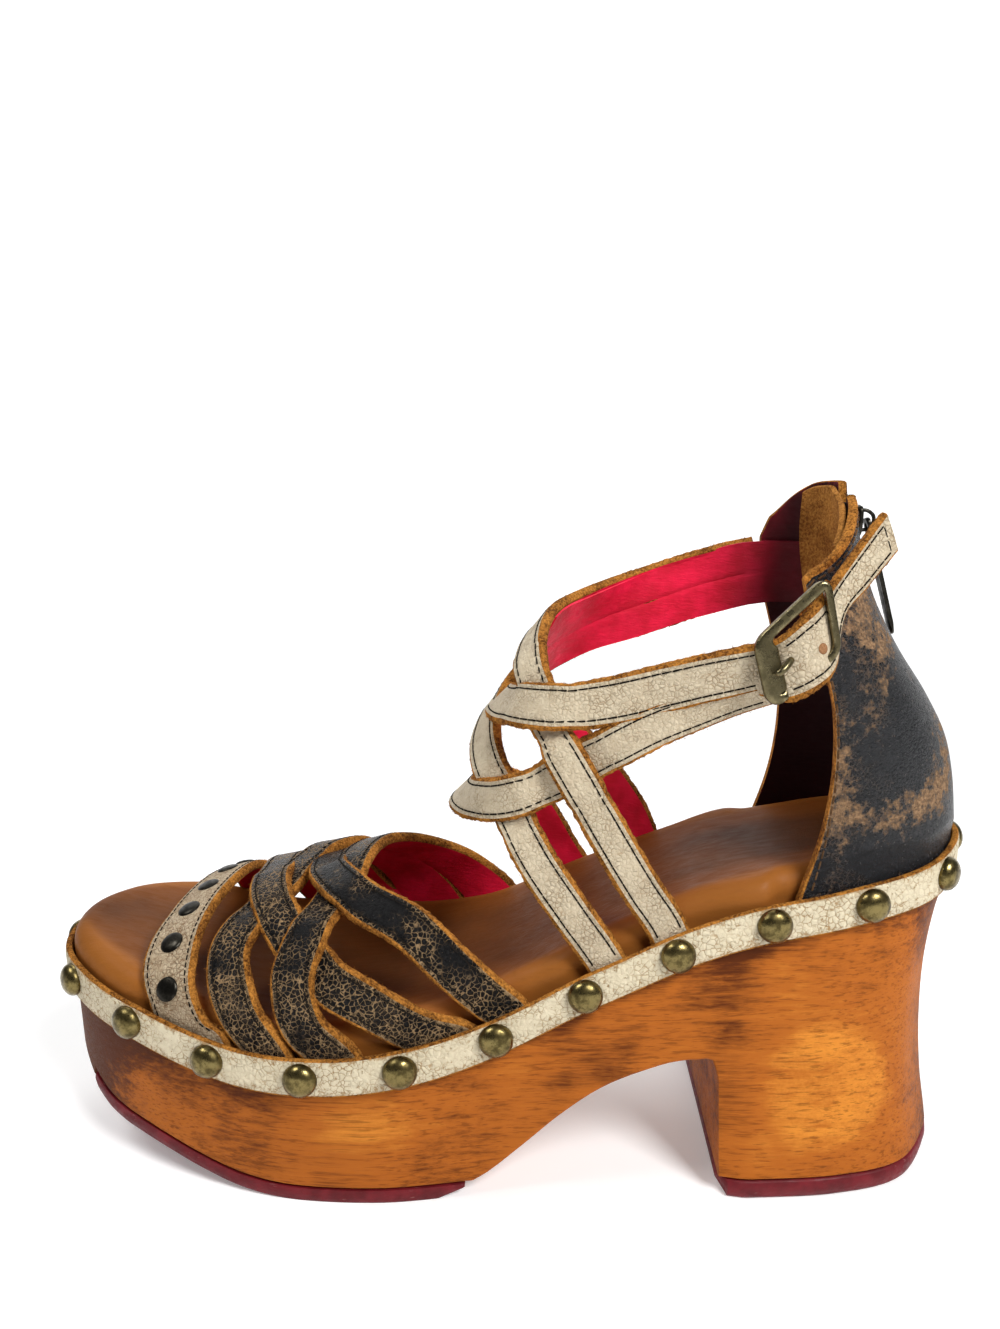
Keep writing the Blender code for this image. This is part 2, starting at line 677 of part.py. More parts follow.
def ankle_straps():
    """Four straps crossed over the instep, and the tongue that two of them become."""
    paths = {name: ankle_path(rows, 3.4) for name, rows in ANKLE_STRAPS.items() if name != "tongue"}
    woven = weave(paths, ANKLE_CROSSINGS)
    made = [
        ribbon(f"ankle_{name}", path, ANKLE_WIDTH, STRAP_THICK, "cream_leather", (True, False))
        for name, path in woven.items()
    ]
    tongue = ankle_path(ANKLE_STRAPS["tongue"], 2.8, facing=(0.2, -1.0, 0.16))
    made.append(ribbon("ankle_tongue", tongue, TONGUE_WIDTH, STRAP_THICK + 0.2, "cream_leather"))
    joined("ankle_straps", made)


def groove_width(x, sign, inset):
    """Half width at x, on one side of the heel, of the rim moved in by inset."""
    loop, inward = rim()
    moved = (loop + inward * inset) * (1, sign)
    moved = moved[(loop[:, 0] > 0) & (moved[:, 1] > -0.01)]
    moved = moved[np.argsort(moved[:, 0])]
    return np.interp(x, moved[:, 0], moved[:, 1])


def counter_point(turn, z, sign, depth=0.0):
    """Point on one side: turn runs from 0 at the front edge to 1 at the back, depth goes inwards."""
    trim, flare = COUNTER_TRIM[sign]
    back, half, side, front = (table(COUNTER, c, z) for c in (1, 2, 3, 4))
    share = 0.16
    bend = np.clip((turn - share) / (1 - share), 0, 1) * np.pi / 2
    straight = np.clip(1 - turn / share, 0, 1)
    side = np.maximum(side, front + 2)
    power = 2 / 2.25
    x = side + (back - depth - side) * np.sin(bend) ** power - straight * (side - front)
    y = (half + trim - depth) * np.cos(bend) ** power
    y = y + flare * straight * np.clip((105 - z) / 25, 0, 1)
    free = np.clip(z - COUNTER_FREE_Z, 0, None) * COUNTER_FREE_SLOPE
    y = np.minimum(y, groove_width(x, sign, RAND_THICK + GAP + depth) + free)
    return np.stack([x, sign * y, z + 0 * x], axis=-1)


def counter(name, sign, column):
    """One half of the heel counter, from the front edge to the zip."""
    rings = []
    turns = np.linspace(0, 1, 15)
    for turn in turns:
        foot = counter_point(turn, np.array([84.0]), sign)[0]
        low = float(rim_height(foot[0])) - STRAP_END + 2 * GAP
        high = float(table(COLLAR, column, turn))
        z = np.linspace(low, high, 13)
        ring = []
        for depth, heights in ((0.0, z), (COUNTER_THICK, z[::-1])):
            spots = counter_point(turn, heights, sign, depth)
            spots[:, 1] = sign * np.maximum(np.abs(spots[:, 1]), ZIP_HALF)
            ring.append(spots)
        rings.append(np.vstack(ring))
    loft(name, rings, "black_leather")


def box_rings(low, high):
    """Two rings of a box between opposite corners."""
    (x0, y0, z0), (x1, y1, z1) = low, high
    return [[(x0, y0, z), (x1, y0, z), (x1, y1, z), (x0, y1, z)] for z in (z0, z1)]


def zip_pieces():
    """Zip strip up the back, its slider with a bail, and the pull that hangs from the bail."""
    half = np.array([0.0, ZIP_HALF - GAP, 0.0])
    deep = np.array([ZIP_THICK / 2, 0.0, 0.0])
    heights = np.linspace(ZIP_BOTTOM, ZIP_TOP, 16)
    backs = table(COUNTER, 1, heights) - ZIP_SUNK - ZIP_THICK / 2
    middles = [np.array([x, 0, z]) for x, z in zip(backs, heights)]
    loft("zip_strip", [rectangle(middle, half, deep) for middle in middles], "zip_cloth")
    face = float(table(COUNTER, 1, SLIDER_Z)) - ZIP_SUNK + SLIDER_LIFT
    hinge = np.array([face + 3.1, 0.0, SLIDER_Z])
    box = box_rings((face, -2.6, SLIDER_Z - 4.5), (face + 1.6, 2.6, SLIDER_Z + 4))
    slider = loft("zip_slider", box, "dark_metal")
    bail = hinge + np.array([(x, 0, z) for x, z in BAIL])
    tangent = unit(np.gradient(bail, axis=0))
    out = np.cross(tangent, (0.0, 1.0, 0.0))
    boolean(slider, ribbon("bail", (bail, out), 1.1, 0.8, "dark_metal"), "UNION")
    pull(hinge)


def pull(hinge):
    """Long thin pull with an eye at the top that turns on the bail."""
    down = np.array([math.sin(PULL_TURN), 0.0, -math.cos(PULL_TURN)])
    out = np.array([math.cos(PULL_TURN), 0.0, math.sin(PULL_TURN)])
    side = np.array([0.0, 1.0, 0.0])
    flat = [rectangle(hinge + down * run, side * half, out * PULL_THICK / 2) for run, half in PULL_SHAPE]
    made = loft("zip_pull", flat, "dark_metal", origin=hinge)
    eye = [rectangle(hinge + down * run, side * EYE_HALF, out * 3) for run in EYE_SPAN]
    boolean(made, loft("eye", eye, "dark_metal", origin=hinge), "DIFFERENCE")


def zip_guard():
    """Suede flap behind the zip at the collar."""
    rings = []
    for turn in np.linspace(-GUARD_REACH, GUARD_REACH, 13):
        share = 1 - abs(turn)
        sign = -1 if turn < 0 else 1
        top = float(table(COLLAR, 1 if turn < 0 else 2, share)) - GUARD_DROP
        z = np.linspace(GUARD_BOTTOM, top, 6)
        outer = counter_point(share, z, sign, COUNTER_THICK + 2 * GAP)
        inner = counter_point(share, z[::-1], sign, COUNTER_THICK + 2 * GAP + GUARD_THICK)
        rings.append(np.vstack([outer, inner]))
    loft("zip_guard", rings, "tan_suede")


def rod(name, path, radius, look, sides=8):
    """Round bar along a path of points."""
    path = np.asarray(path, float)
    tangent = unit(np.gradient(path, axis=0))
    side = unit(np.cross(tangent, (0.0, 0.2, 1.0)))
    up = np.cross(tangent, side)
    turn = np.linspace(0, 2 * np.pi, sides, endpoint=False)
    circle = np.stack([np.cos(turn), np.sin(turn)], axis=1)
    rings = [p + radius * (circle @ np.stack([a, b])) for p, a, b in zip(path, side, up)]
    return loft(name, rings, look)


def buckle():
    """Brass frame with a wide front plate, its prong, and the leather chape under the tongue."""
    corners = np.asarray(BUCKLE, float)
    out = unit(np.cross(corners[1] - corners[3], corners[2] - corners[0]))
    rings = []
    for k, corner in enumerate(corners):
        before, after = unit(corners[k - 1] - corner), unit(corners[(k + 1) % 4] - corner)
        for spot, bar, plate in (
            (corner + before * CORNER_R, -before, k == 0),
            (corner + (before + after) * 0.28 * CORNER_R, unit(after - before), False),
            (corner + after * CORNER_R, after, k == 3),
        ):
            inward = unit(np.cross(bar, out))
            width = PLATE_WIDTH if plate else 2 * BUCKLE_BAR
            section = [(-0.55, -1), (width / BUCKLE_BAR - 1.4, -0.8), (width / BUCKLE_BAR - 1, 0)]
            section += [(width / BUCKLE_BAR - 1.4, 0.8), (-0.55, 1), (-1, 0)]
            rings.append([spot + BUCKLE_BAR * (inward * a + out * b) for a, b in section])
    loft("buckle_frame", rings, "antique_brass", closed=True)
    rod("buckle_prong", PRONG, PRONG_R, "antique_brass")
    chape = ankle_path(CHAPE, 3.0, facing=(0.3, -1.0, 0.1))
    ribbon("buckle_chape", chape, CHAPE_WIDTH, CHAPE_THICK, "black_leather")


def main():
    """Clears the scene and builds every piece."""
    for old in list(bpy.data.objects):
        bpy.data.objects.remove(old, do_unlink=True)
    clog_base()
    forefoot_outsole()
    heel_lift()
    rand()
    rand_studs()
    insole()
    toe_strap()
    vamp_straps()
    ankle_straps()
    counter("counter_lateral", -1, 1)
    counter("counter_medial", 1, 2)
    zip_pieces()
    zip_guard()
    buckle()


main()
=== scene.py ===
"""Looks of a left platform clog sandal: worn straps, stained wood, brass studs and a zipped counter.

Tables are in millimetres. X runs from toe to heel, -Y is the outer (buckle) side, +Z is up.
"""

import logging
import math
from abc import ABC, abstractmethod
from collections.abc import Sequence
from dataclasses import dataclass, field, replace
from enum import Enum
from functools import cache

import bmesh
import bpy
import numpy as np
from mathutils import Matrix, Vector

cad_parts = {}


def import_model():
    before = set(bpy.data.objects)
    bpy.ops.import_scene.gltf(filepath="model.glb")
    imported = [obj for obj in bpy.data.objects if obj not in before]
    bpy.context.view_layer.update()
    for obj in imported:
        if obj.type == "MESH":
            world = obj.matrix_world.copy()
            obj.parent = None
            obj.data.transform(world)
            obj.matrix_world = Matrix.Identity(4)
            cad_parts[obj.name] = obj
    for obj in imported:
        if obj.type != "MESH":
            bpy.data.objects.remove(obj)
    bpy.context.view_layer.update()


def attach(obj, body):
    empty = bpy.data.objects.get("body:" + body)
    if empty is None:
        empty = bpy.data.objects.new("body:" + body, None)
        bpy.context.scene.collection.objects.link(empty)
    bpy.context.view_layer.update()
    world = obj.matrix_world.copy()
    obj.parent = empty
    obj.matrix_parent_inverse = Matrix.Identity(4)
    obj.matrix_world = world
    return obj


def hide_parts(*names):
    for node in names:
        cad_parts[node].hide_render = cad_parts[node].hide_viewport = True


Array = np.ndarray
Triple = tuple[float, float, float]
Colour = Triple
Rows = tuple[tuple[float, ...], ...]
Path = tuple[Array, Array]
Material = bpy.types.Material
Socket = bpy.types.NodeSocket
Value = Socket | float | Colour  # what an input of a node takes
LOG = logging.getLogger("sandal")

MM = 0.001
SHIFT = np.array([0.0, 0.7, 0.0])  # puts the middle of the whole shoe over the origin
GAP = 0.3  # clearance between neighbouring parts
MERGE = 2e-6  # metres within which points of neighbouring grids become one
DENSE = 900  # places at which a path is measured before it is cut into even steps

# Sole unit
HALF_LENGTH = 125.0
OUTLINE = (  # x along the shoe, lateral half width, medial half width
    (-125, 0, 0), (-122, 12.5, 13), (-115, 20.8, 23.6), (-100, 30.6, 33.4), (-75, 39.1, 41.1),
    (-50, 43.2, 42.0), (-30, 43.3, 40.0), (0, 38.7, 33.5), (35, 36.0, 29.8), (65, 32.7, 29.6),
    (90, 30.0, 29.5), (110, 23.5, 23.0), (121, 11.5, 11.5), (125, 0, 0),
)
RIM = (  # x, height of the rand's top edge
    (-125, 55.8), (-95, 50.0), (-65, 43.2), (-35, 43.2), (-5, 49.4), (25, 64.4), (55, 77.2),
    (90, 84.6), (125, 91.4),
)
ROCKER = (  # x, height of the tread under the forefoot
    (-130, 47), (-125, 36), (-122, 29.5), (-118, 23.3), (-113.5, 17.6), (-108.5, 14.0),
    (-102, 11.6), (-96, 10.2), (-87, 7.7), (-78, 4.8), (-68, 1.9), (-57, 0.3), (-50, 0), (0, 0),
)
ARCH = (  # x, height of the wood's underside between forefoot and heel
    (-5.5, 3.8), (-3, 5.2), (6.8, 13.3), (17, 22.6), (27, 30.0), (39.5, 35.3), (47, 37.3),
    (53, 37.6), (56.6, 36.0), (57.6, 32.0),
)
WOOD_DROP = 5.3  # wood top below the rand's top edge
RAND_THICK = 1.8
INSOLE_WALL = 5.3  # inner side of the groove that the straps stand in
OUTSOLE_FRONT, OUTSOLE_BACK = -113.0, -7.6
OUTSOLE_THICK = 3.5
BREAST_X = 58.5
LIFT_HEIGHT = 5.0
HEEL_SIDE = ((0, -2.6), (6, -2.0), (25, 0.2), (45, 1.7), (75, 2.1))  # height, inset of the wood
HEEL_BACK = ((0, 1.7), (6, 2.3), (20, 4.8), (40, 6.6), (58, 6.3), (70, 4.6), (80, 2.4), (86, 2.1))
WALL_DRAFT = 1.1  # how far the wall leans in from its top to its foot
HEEL_FROM, HEEL_RUN = 45.0, 20.0  # x where the wall begins to follow the heel's insets, and over what run
HEEL_TURN = 1.5  # how late the side's inset gives way to the back's

# Straps
STRAP_INSET = (RAND_THICK + INSOLE_WALL) / 2  # strap centre in from the rand's outer face
STRAP_END = 2.2  # strap ends below the rand's top edge
SEAT_REACH = 14.0  # straps follow the groove's curve up to this height above it
ROOT_REACH = 40.0  # over this run an ankle strap turns from the rim's direction to the ankle's
STRAP_STEP = 0.9  # distance between the sections of a strap
WEAVE_POWER = 6  # how suddenly the raised stretch of a crossing ends
LAST_FULLNESS = 2.3
LAST = (  # x, height of the strap centre over the top of the foot
    (-112, 57), (-90, 65), (-75, 69.5), (-60, 73.3), (-45, 77), (-30, 81.5), (-15, 86.5),
    (0, 92.5), (15, 99.5),
)
TOE_STRAP = (  # degrees around the foot from the lateral rim, x
    (0, -76.3), (8, -81.2), (28, -84.5), (55, -85.8), (82, -85.2), (103, -83.6), (130, -82),
    (155, -81), (172, -79.2), (180, -76.5),
)
VAMP_STRAPS = {  # degrees around the foot from the lateral rim, x
    "front_outer": (
        (0, -56.5), (15, -64), (33, -68.5), (46, -69.4), (60, -66.9),
        (80, -62), (105, -54), (130, -43), (155, -30), (180, -18),
    ),
    "rear_outer": (
        (0, -39), (12, -47.5), (30, -50.5), (50, -47.5), (75, -43.5),
        (100, -40), (120, -35.5), (140, -26), (160, -13), (180, -1),
    ),
    "front_inner": (
        (0, -11), (6, -20), (17, -31), (28, -41.5), (40, -48.5), (52, -54.8),
        (73, -62), (90, -64.5), (115, -66), (145, -66.5), (162, -63.5), (180, -54),
    ),
    "rear_inner": (
        (0, 4), (10, -3), (23, -10.8), (43, -22), (60, -35), (82, -47),
        (105, -50), (130, -51.5), (150, -51), (168, -47.5), (180, -40),
    ),
}
VAMP_CROSSINGS = (  # over, under
    ("rear_outer", "front_inner"), ("rear_inner", "rear_outer"), ("front_inner", "front_outer"),
    ("front_outer", "rear_inner"),
)
FOOT_AXIS = ((-60, 0, 55), (-5, 0, 85), (30, 0, 120), (55, 0, 150), (78, 0, 158))
ANKLE_STRAPS = {  # x, y, z of the strap centre
    "low_outer": (
        (29, -32.9, 63.5), (27, -33.2, 67), (19, -34.0, 79), (9.6, -32.4, 93), (4.4, -28.2, 101.5),
        (0.3, -22.2, 107), (-2.6, -14.5, 111.5), (-3.8, -5.5, 115.5), (-3, 3, 119), (0, 12, 122.4),
        (5.5, 20.5, 127), (13, 26.2, 131.9), (26, 29.1, 138.4), (41, 29.6, 143.2), (57, 27.2, 149.4),
        (66, 24.4, 152.6), (73.5, 22.1, 154.8),
    ),
    "high_outer": (
        (44.5, -31.6, 70.4), (43, -31.9, 74), (35.7, -33.0, 85.7), (25.6, -32.8, 103),
        (19.5, -31.4, 114), (14.2, -28.6, 123), (9.8, -23.4, 131), (8.2, -16.5, 137), (8.6, -8, 141.5),
        (10.4, 0.5, 144.5), (14, 10, 146.6), (20.5, 18.5, 148.2), (29, 25.2, 150.3), (41, 29.4, 153.6),
        (57, 27.4, 159), (65, 23.4, 161.8), (71.7, 20.4, 163.4),
    ),
    "low_inner": (
        (24, 27.2, 61), (22, 27.6, 64.5), (17.8, 28.2, 71), (11.5, 27.8, 82), (5, 25.2, 90),
        (-2, 19, 95), (-7.6, 11, 97.3), (-9.8, 1, 98.5), (-9, -8.4, 100), (-5.2, -18, 102.3),
        (1.8, -25.6, 105.3), (9.9, -29.6, 109.3), (23, -31.8, 117.4), (39.3, -32.4, 126.9),
        (48.6, -32.6, 130.6), (57, -33.0, 134.0), (64.5, -33.9, 136.6),
    ),
    "high_inner": (
        (43, 26.1, 70.2), (42.3, 26.5, 74), (40, 27.8, 80.5), (33.4, 28.8, 91), (24, 29.0, 102.5),
        (15, 26.6, 112), (7, 20.5, 118.5), (2.4, 11, 122.3), (0.6, 0, 124.8), (2.2, -11.6, 126.4),
        (8.2, -22.2, 128), (16.6, -28.1, 129.4), (28.4, -31.2, 132), (41, -32.4, 135.7),
        (49.5, -33.2, 138.4), (57, -33.6, 140.4), (64.5, -34.2, 142.6),
    ),
}
TONGUE = (  # x, y, z of the lower and of the upper edge, swelling where it passes the buckle
    (62.5, -34.0, 134.4, 58.5, -33.2, 144.0), (68.3, -39.0, 134.3, 65.7, -36.4, 148.7),
    (74.0, -38.9, 137.4, 69.9, -37.4, 153.7), (78.2, -34.9, 142.0, 74.5, -34.3, 158.0),
    (79.5, -33.2, 152.1, 77.7, -33.0, 161.7), (85.6, -30.2, 159.2, 83.1, -30.0, 168.5),
    (92.7, -27.0, 167.0, 89.3, -26.8, 176.1),
)
ANKLE_CROSSINGS = (  # over, under
    ("low_inner", "low_outer"), ("high_outer", "low_inner"), ("high_inner", "high_outer"),
    ("low_outer", "high_inner"),
)

# Heel counter and zip
COUNTER_THICK = 2.2
COUNTER = (  # z, x of the outer face at the back, half width, x where the side turns, x of the front
    (76, 122.6, 29.0, 84, 73.5), (84, 122.6, 28.6, 84, 76.2), (98, 121.6, 28.6, 84, 80.3),
    (110, 119.8, 28.6, 83, 82.0), (119, 117.2, 28.4, 82, 82.2), (130, 111.2, 27.8, 80, 81.3),
    (142, 103.0, 26.6, 76, 78.2), (156, 95.6, 24.4, 71, 74.2), (168, 92.2, 21.4, 68, 72.6),
    (184, 90.4, 17.0, 66, 73.0),
)
COUNTER_TRIM = {-1: (0.0, 1.0), 1: (-1.2, 0.0)}  # side: added half width, flare at the foot of the front
COUNTER_FREE_Z, COUNTER_FREE_SLOPE = 92.0, 0.3  # above this height it leaves the groove's outline
COUNTER_POWER, COUNTER_STRAIGHT = 2 / 2.25, 0.16  # fullness of the curve, share of the straight front
COUNTER_FLARE_Z, COUNTER_FLARE_RUN = 105.0, 25.0  # below this height the front flares out, over this run
COUNTER_FOOT_Z = 84.0  # height at which the counter's foot is traced
COLLAR = (  # turn from side to back, lateral top, medial top
    (0.0, 160.5, 168.5), (0.16, 162.5, 174.0), (0.3, 165.5, 179.0), (0.5, 170.5, 182.6),
    (0.75, 177.0, 183.6), (1.0, 181.0, 183.4),
)
ZIP_HALF, ZIP_SUNK = 3.4, 0.4
SLIDER_Z, SLIDER_LIFT, HINGE_OUT = 173.5, 1.1, 3.1


class Side(Enum):
    """The two halves of the heel counter: sign of y, and column of the collar table."""

    LATERAL = (-1, 1)
    MEDIAL = (1, 2)


class Body(Enum):
    """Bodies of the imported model."""

    SANDAL = "sandal"
    PULL = "pull"


class Slot(Enum):
    """Material slots of the record."""

    WOOD = "clog_wood"
    RUBBER = "red_rubber"
    CREAM = "cream_leather"
    BLACK = "black_leather"
    TAN = "tan_leather"
    SUEDE = "tan_suede"
    BRASS = "antique_brass"
    DARK = "dark_metal"
    CLOTH = "zip_cloth"


def smooth(knots: Array, values: Array, at: Array) -> Array:
    """Cubic through the knots, whose slopes come from each knot's neighbours.

    Args:
        knots: increasing places.
        values: one value or row for each knot.
        at: places to evaluate, held to the knots' range.

    Returns:
        The values there.
    """
    knots, values = np.asarray(knots, float), np.asarray(values, float)
    at = np.clip(np.asarray(at, float), knots[0], knots[-1])
    slopes = np.gradient(values, knots, axis=0)
    i = np.clip(np.searchsorted(knots, at, side="right") - 1, 0, len(knots) - 2)
    span = knots[i + 1] - knots[i]
    t = (at - knots[i]) / span
    if values.ndim == 2:
        t, span = t[:, None], span[:, None]
    return (
        (2 * t**3 - 3 * t**2 + 1) * values[i]
        + (t**3 - 2 * t**2 + t) * span * slopes[i]
        + (3 * t**2 - 2 * t**3) * values[i + 1]
        + (t**3 - t**2) * span * slopes[i + 1]
    )


def table(rows: Rows, column: int, at: Array) -> Array:
    """Smooth value of one column of a table whose first column is the knot."""
    rows = np.asarray(rows, float)
    return smooth(rows[:, 0], rows[:, column], at)


def unit(vectors: Array) -> Array:
    """Rows scaled to length one."""
    return vectors / np.linalg.norm(vectors, axis=-1, keepdims=True)


def ease(value: Array, low: float, high: float) -> Array:
    """Smooth step from 0 at low to 1 at high."""
    t = np.clip((np.asarray(value, float) - low) / (high - low), 0, 1)
    return t * t * (3 - 2 * t)


def run_along(points: Array) -> Array:
    """Distance along a polyline at each of its points."""
    return np.r_[0, np.cumsum(np.linalg.norm(np.diff(points, axis=0), axis=1))]


def at_run(run: Array, values: Array, places: Array) -> Array:
    """Rows of values read at places along a run."""
    return np.stack([np.interp(places, run, column) for column in values.T], axis=-1)


def half_widths(x: Array) -> tuple[Array, Array]:
    """Half widths of the rand's outer face: cubics over the angle whose cosine is the place.

    Args:
        x: places along the shoe.

    Returns:
        Lateral and medial half widths there.
    """
    rows = np.asarray(OUTLINE, float)
    turn = np.arccos(np.clip(-rows[:, 0] / HALF_LENGTH, -1, 1))
    at = np.arccos(np.clip(-np.asarray(x, float) / HALF_LENGTH, -1, 1))
    return smooth(turn, rows[:, 1], at), smooth(turn, rows[:, 2], at)


def rim_height(x: Array) -> Array:
    """Height of the rand's top edge at x."""
    return table(RIM, 1, x)


def stations(count: int) -> Array:
    """Places along the shoe from toe tip to heel, closer together at the tips."""
    return -HALF_LENGTH * np.cos(np.linspace(0, np.pi, count))


def rim(x: Array) -> Path:
    """Plan loop of the rand's outer face through stations.

    Args:
        x: stations from the toe's tip to the heel's.

    Returns:
        The loop from the toe down the lateral side and back, and its inward normals.
    """
    lateral, medial = half_widths(x)
    loop = np.vstack([np.c_[x, -lateral], np.c_[x, medial][-2:0:-1]])
    tangent = unit(np.roll(loop, -1, 0) - np.roll(loop, 1, 0))
    return loop, np.c_[-tangent[:, 1], tangent[:, 0]]


RIM_LOOP, RIM_INWARD = rim(stations(122))


def wall_inset(loop: Array, inward: Array, height: Array) -> Array:
    """Inset of the wood's wall from the rand's outer face.

    Args:
        loop: rim points in plan.
        inward: their inward normals.
        height: height of the wall at each.

    Returns:
        A drafted wall under the sole, which turns into the heel's own flare behind the arch.
    """
    x = loop[:, 0]
    low = np.clip(1 - height / rim_height(x), 0, 1)
    sole = RAND_THICK + GAP + WALL_DRAFT * low
    back = np.clip(-inward[:, 0], 0, 1) ** HEEL_TURN
    heel = table(HEEL_SIDE, 1, height) * (1 - back) + table(HEEL_BACK, 1, height) * back
    share = np.clip((x - HEEL_FROM) / HEEL_RUN, 0, 1)
    return sole * (1 - share) + heel * share


def tread(x: Array) -> Array:
    """Height of the forefoot's tread at x."""
    return np.maximum(table(ROCKER, 1, x), 0)


def seated(points: Array) -> Array:
    """Points near the rim moved to the middle of the groove that the straps stand in.

    Args:
        points: rows of x, y, z.

    Returns:
        The rows moved along the rim's normal, by less the higher they are.
    """
    after = np.roll(RIM_LOOP, -1, 0)
    along = unit(after - RIM_LOOP)
    length = np.linalg.norm(after - RIM_LOOP, axis=1)
    away = points[:, None, :2] - RIM_LOOP
    share = np.clip(np.sum(away * along, axis=2), 0, length)
    spot = RIM_LOOP + along * share[..., None]
    near = np.argmin(np.linalg.norm(points[:, None, :2] - spot, axis=2), axis=1)
    normal = np.c_[-along[near, 1], along[near, 0]]
    inset = np.sum((points[:, :2] - RIM_LOOP[near]) * normal, axis=1)
    rise = points[:, 2] - rim_height(points[:, 0])
    move = (STRAP_INSET - inset) * np.clip(1 - rise / SEAT_REACH, 0, 1)
    return points + np.c_[normal * move[:, None], np.zeros(len(points))]


def last_point(x: Array, around: Array) -> Array:
    """Point of the forefoot's strap surface: a full arch from groove to groove over the foot.

    Args:
        x: place along the shoe.
        around: angle from the lateral groove over the foot to the medial one.

    Returns:
        Points with the arguments' shape and x, y, z last.
    """
    lateral, medial = half_widths(x)
    left, right = STRAP_INSET - lateral, medial - STRAP_INSET
    base = rim_height(x) - STRAP_END
    c, s = np.cos(around), np.abs(np.sin(around))
    power = 2 / LAST_FULLNESS
    y = (left + right) / 2 - (right - left) / 2 * np.sign(c) * np.abs(c) ** power
    return np.stack([x, y, base + (table(LAST, 1, x) - base) * s**power], axis=-1)


def vamp_path(rows: Rows, step: float) -> Path:
    """Centre line and outward normals of a strap laid over the forefoot.

    Args:
        rows: degrees around the foot and x.
        step: distance between points.

    Returns:
        Points and normals, the normal square to both directions of the last's surface.
    """
    rows = np.asarray(rows, float)
    knots = np.arange(len(rows))
    dense = smooth(knots, rows, np.linspace(0, knots[-1], DENSE))
    around, x = np.radians(np.clip(dense[:, 0], 0.01, 179.99)), dense[:, 1]
    run = run_along(last_point(x, around))
    places = np.linspace(0, run[-1], round(run[-1] / step) + 1)
    around, x = np.interp(places, run, around), np.interp(places, run, x)
    tiny = 0.004
    turn = last_point(x, np.clip(around + tiny, 0, np.pi)) - last_point(x, np.clip(around - tiny, 0, np.pi))
    along = last_point(x + 0.5, around) - last_point(x - 0.5, around)
    return last_point(x, around), unit(np.cross(along, turn))


def nearest_on_axis(points: Array) -> Array:
    """Nearest point of the foot's axis to each point.

    Args:
        points: rows of x, y, z.

    Returns:
        One row for each.
    """
    axis = np.asarray(FOOT_AXIS, float)
    a, b = axis[:-1], axis[1:]
    t = np.sum((points[:, None] - a) * (b - a), axis=2) / np.sum((b - a) ** 2, axis=1)
    spots = a + np.clip(t, 0, 1)[..., None] * (b - a)
    best = np.argmin(np.linalg.norm(points[:, None] - spots, axis=2), axis=1)
    return spots[np.arange(len(points)), best]


def groove_direction(point: Array) -> Array:
    """Direction of the groove between rand and insole beside a point, towards the heel.

    Args:
        point: x, y, z.

    Returns:
        A vector of length one.
    """
    side = 0 if point[1] < 0 else 1
    x = np.array([point[0] - 1, point[0] + 1])
    ends = np.c_[x, (-1, 1)[side] * half_widths(x)[side], rim_height(x)]
    return unit(ends[1] - ends[0])


def ankle_path(rows: Rows, step: float, facing: Triple | None = None) -> Path:
    """Centre line and outward normals of a strap round the instep and ankle.

    Args:
        rows: points of the centre line.
        step: distance between points.
        facing: one outward direction, or none to face away from the foot's axis.

    Returns:
        Points and normals, square to the line.
    """
    rows = np.asarray(rows, float)
    chord = run_along(rows)
    dense = smooth(chord, rows, np.linspace(0, chord[-1], DENSE))
    run = run_along(dense)
    places = np.linspace(0, run[-1], round(run[-1] / step) + 1)
    centre = at_run(run, dense, places)
    tangent = unit(np.gradient(centre, axis=0))
    if facing is None:
        root = np.cross(groove_direction(centre[0]), (0.0, 0.0, -math.copysign(1, centre[0, 1])))
        share = np.clip(1 - places / ROOT_REACH, 0, 1)[:, None]
        out = unit(centre - nearest_on_axis(centre)) * (1 - share) + unit(root) * share
    else:
        out = np.tile(facing, (len(centre), 1))
    return centre, unit(out - np.sum(out * tangent, axis=1, keepdims=True) * tangent)


def weave(paths: dict[str, Path], crossings: Sequence, spacing: float, reach: float) -> dict[str, Path]:
    """Moves the two straps of each crossing apart, the over strap out and the under strap in.

    Args:
        paths: centre lines and normals.
        crossings: pairs of names, over and under.
        spacing: distance between the centres where they cross.
        reach: half length of the raised stretch.

    Returns:
        The moved paths.
    """
    moves = {name: np.zeros(len(path[0])) for name, path in paths.items()}
    for over, under in crossings:
        (p, _), (q, normal) = paths[over], paths[under]
        far = np.linalg.norm(p[:, None] - q[None], axis=2)
        i, j = np.unravel_index(np.argmin(far), far.shape)
        short = spacing - (p[i] - q[j]) @ normal[j]
        for name, at, sign in ((over, i, 1), (under, j, -1)):
            points = paths[name][0]
            away = np.linalg.norm(points - points[at], axis=1)
            moves[name] += sign * short / 2 / (1 + (away / reach) ** WEAVE_POWER)
    return {name: (c + n * moves[name][:, None], n) for name, (c, n) in paths.items()}


def groove_width(x: Array, sign: int, inset: float) -> Array:
    """Half width, on one side of the heel, of the rim moved in.

    Args:
        x: places along the shoe.
        sign: -1 for the lateral side, 1 for the medial.
        inset: how far the rim is moved in.

    Returns:
        The half width at each place.
    """
    moved = (RIM_LOOP + RIM_INWARD * inset) * (1, sign)
    moved = moved[(RIM_LOOP[:, 0] > 0) & (moved[:, 1] > -0.01)]
    moved = moved[np.argsort(moved[:, 0])]
    return np.interp(x, moved[:, 0], moved[:, 1])


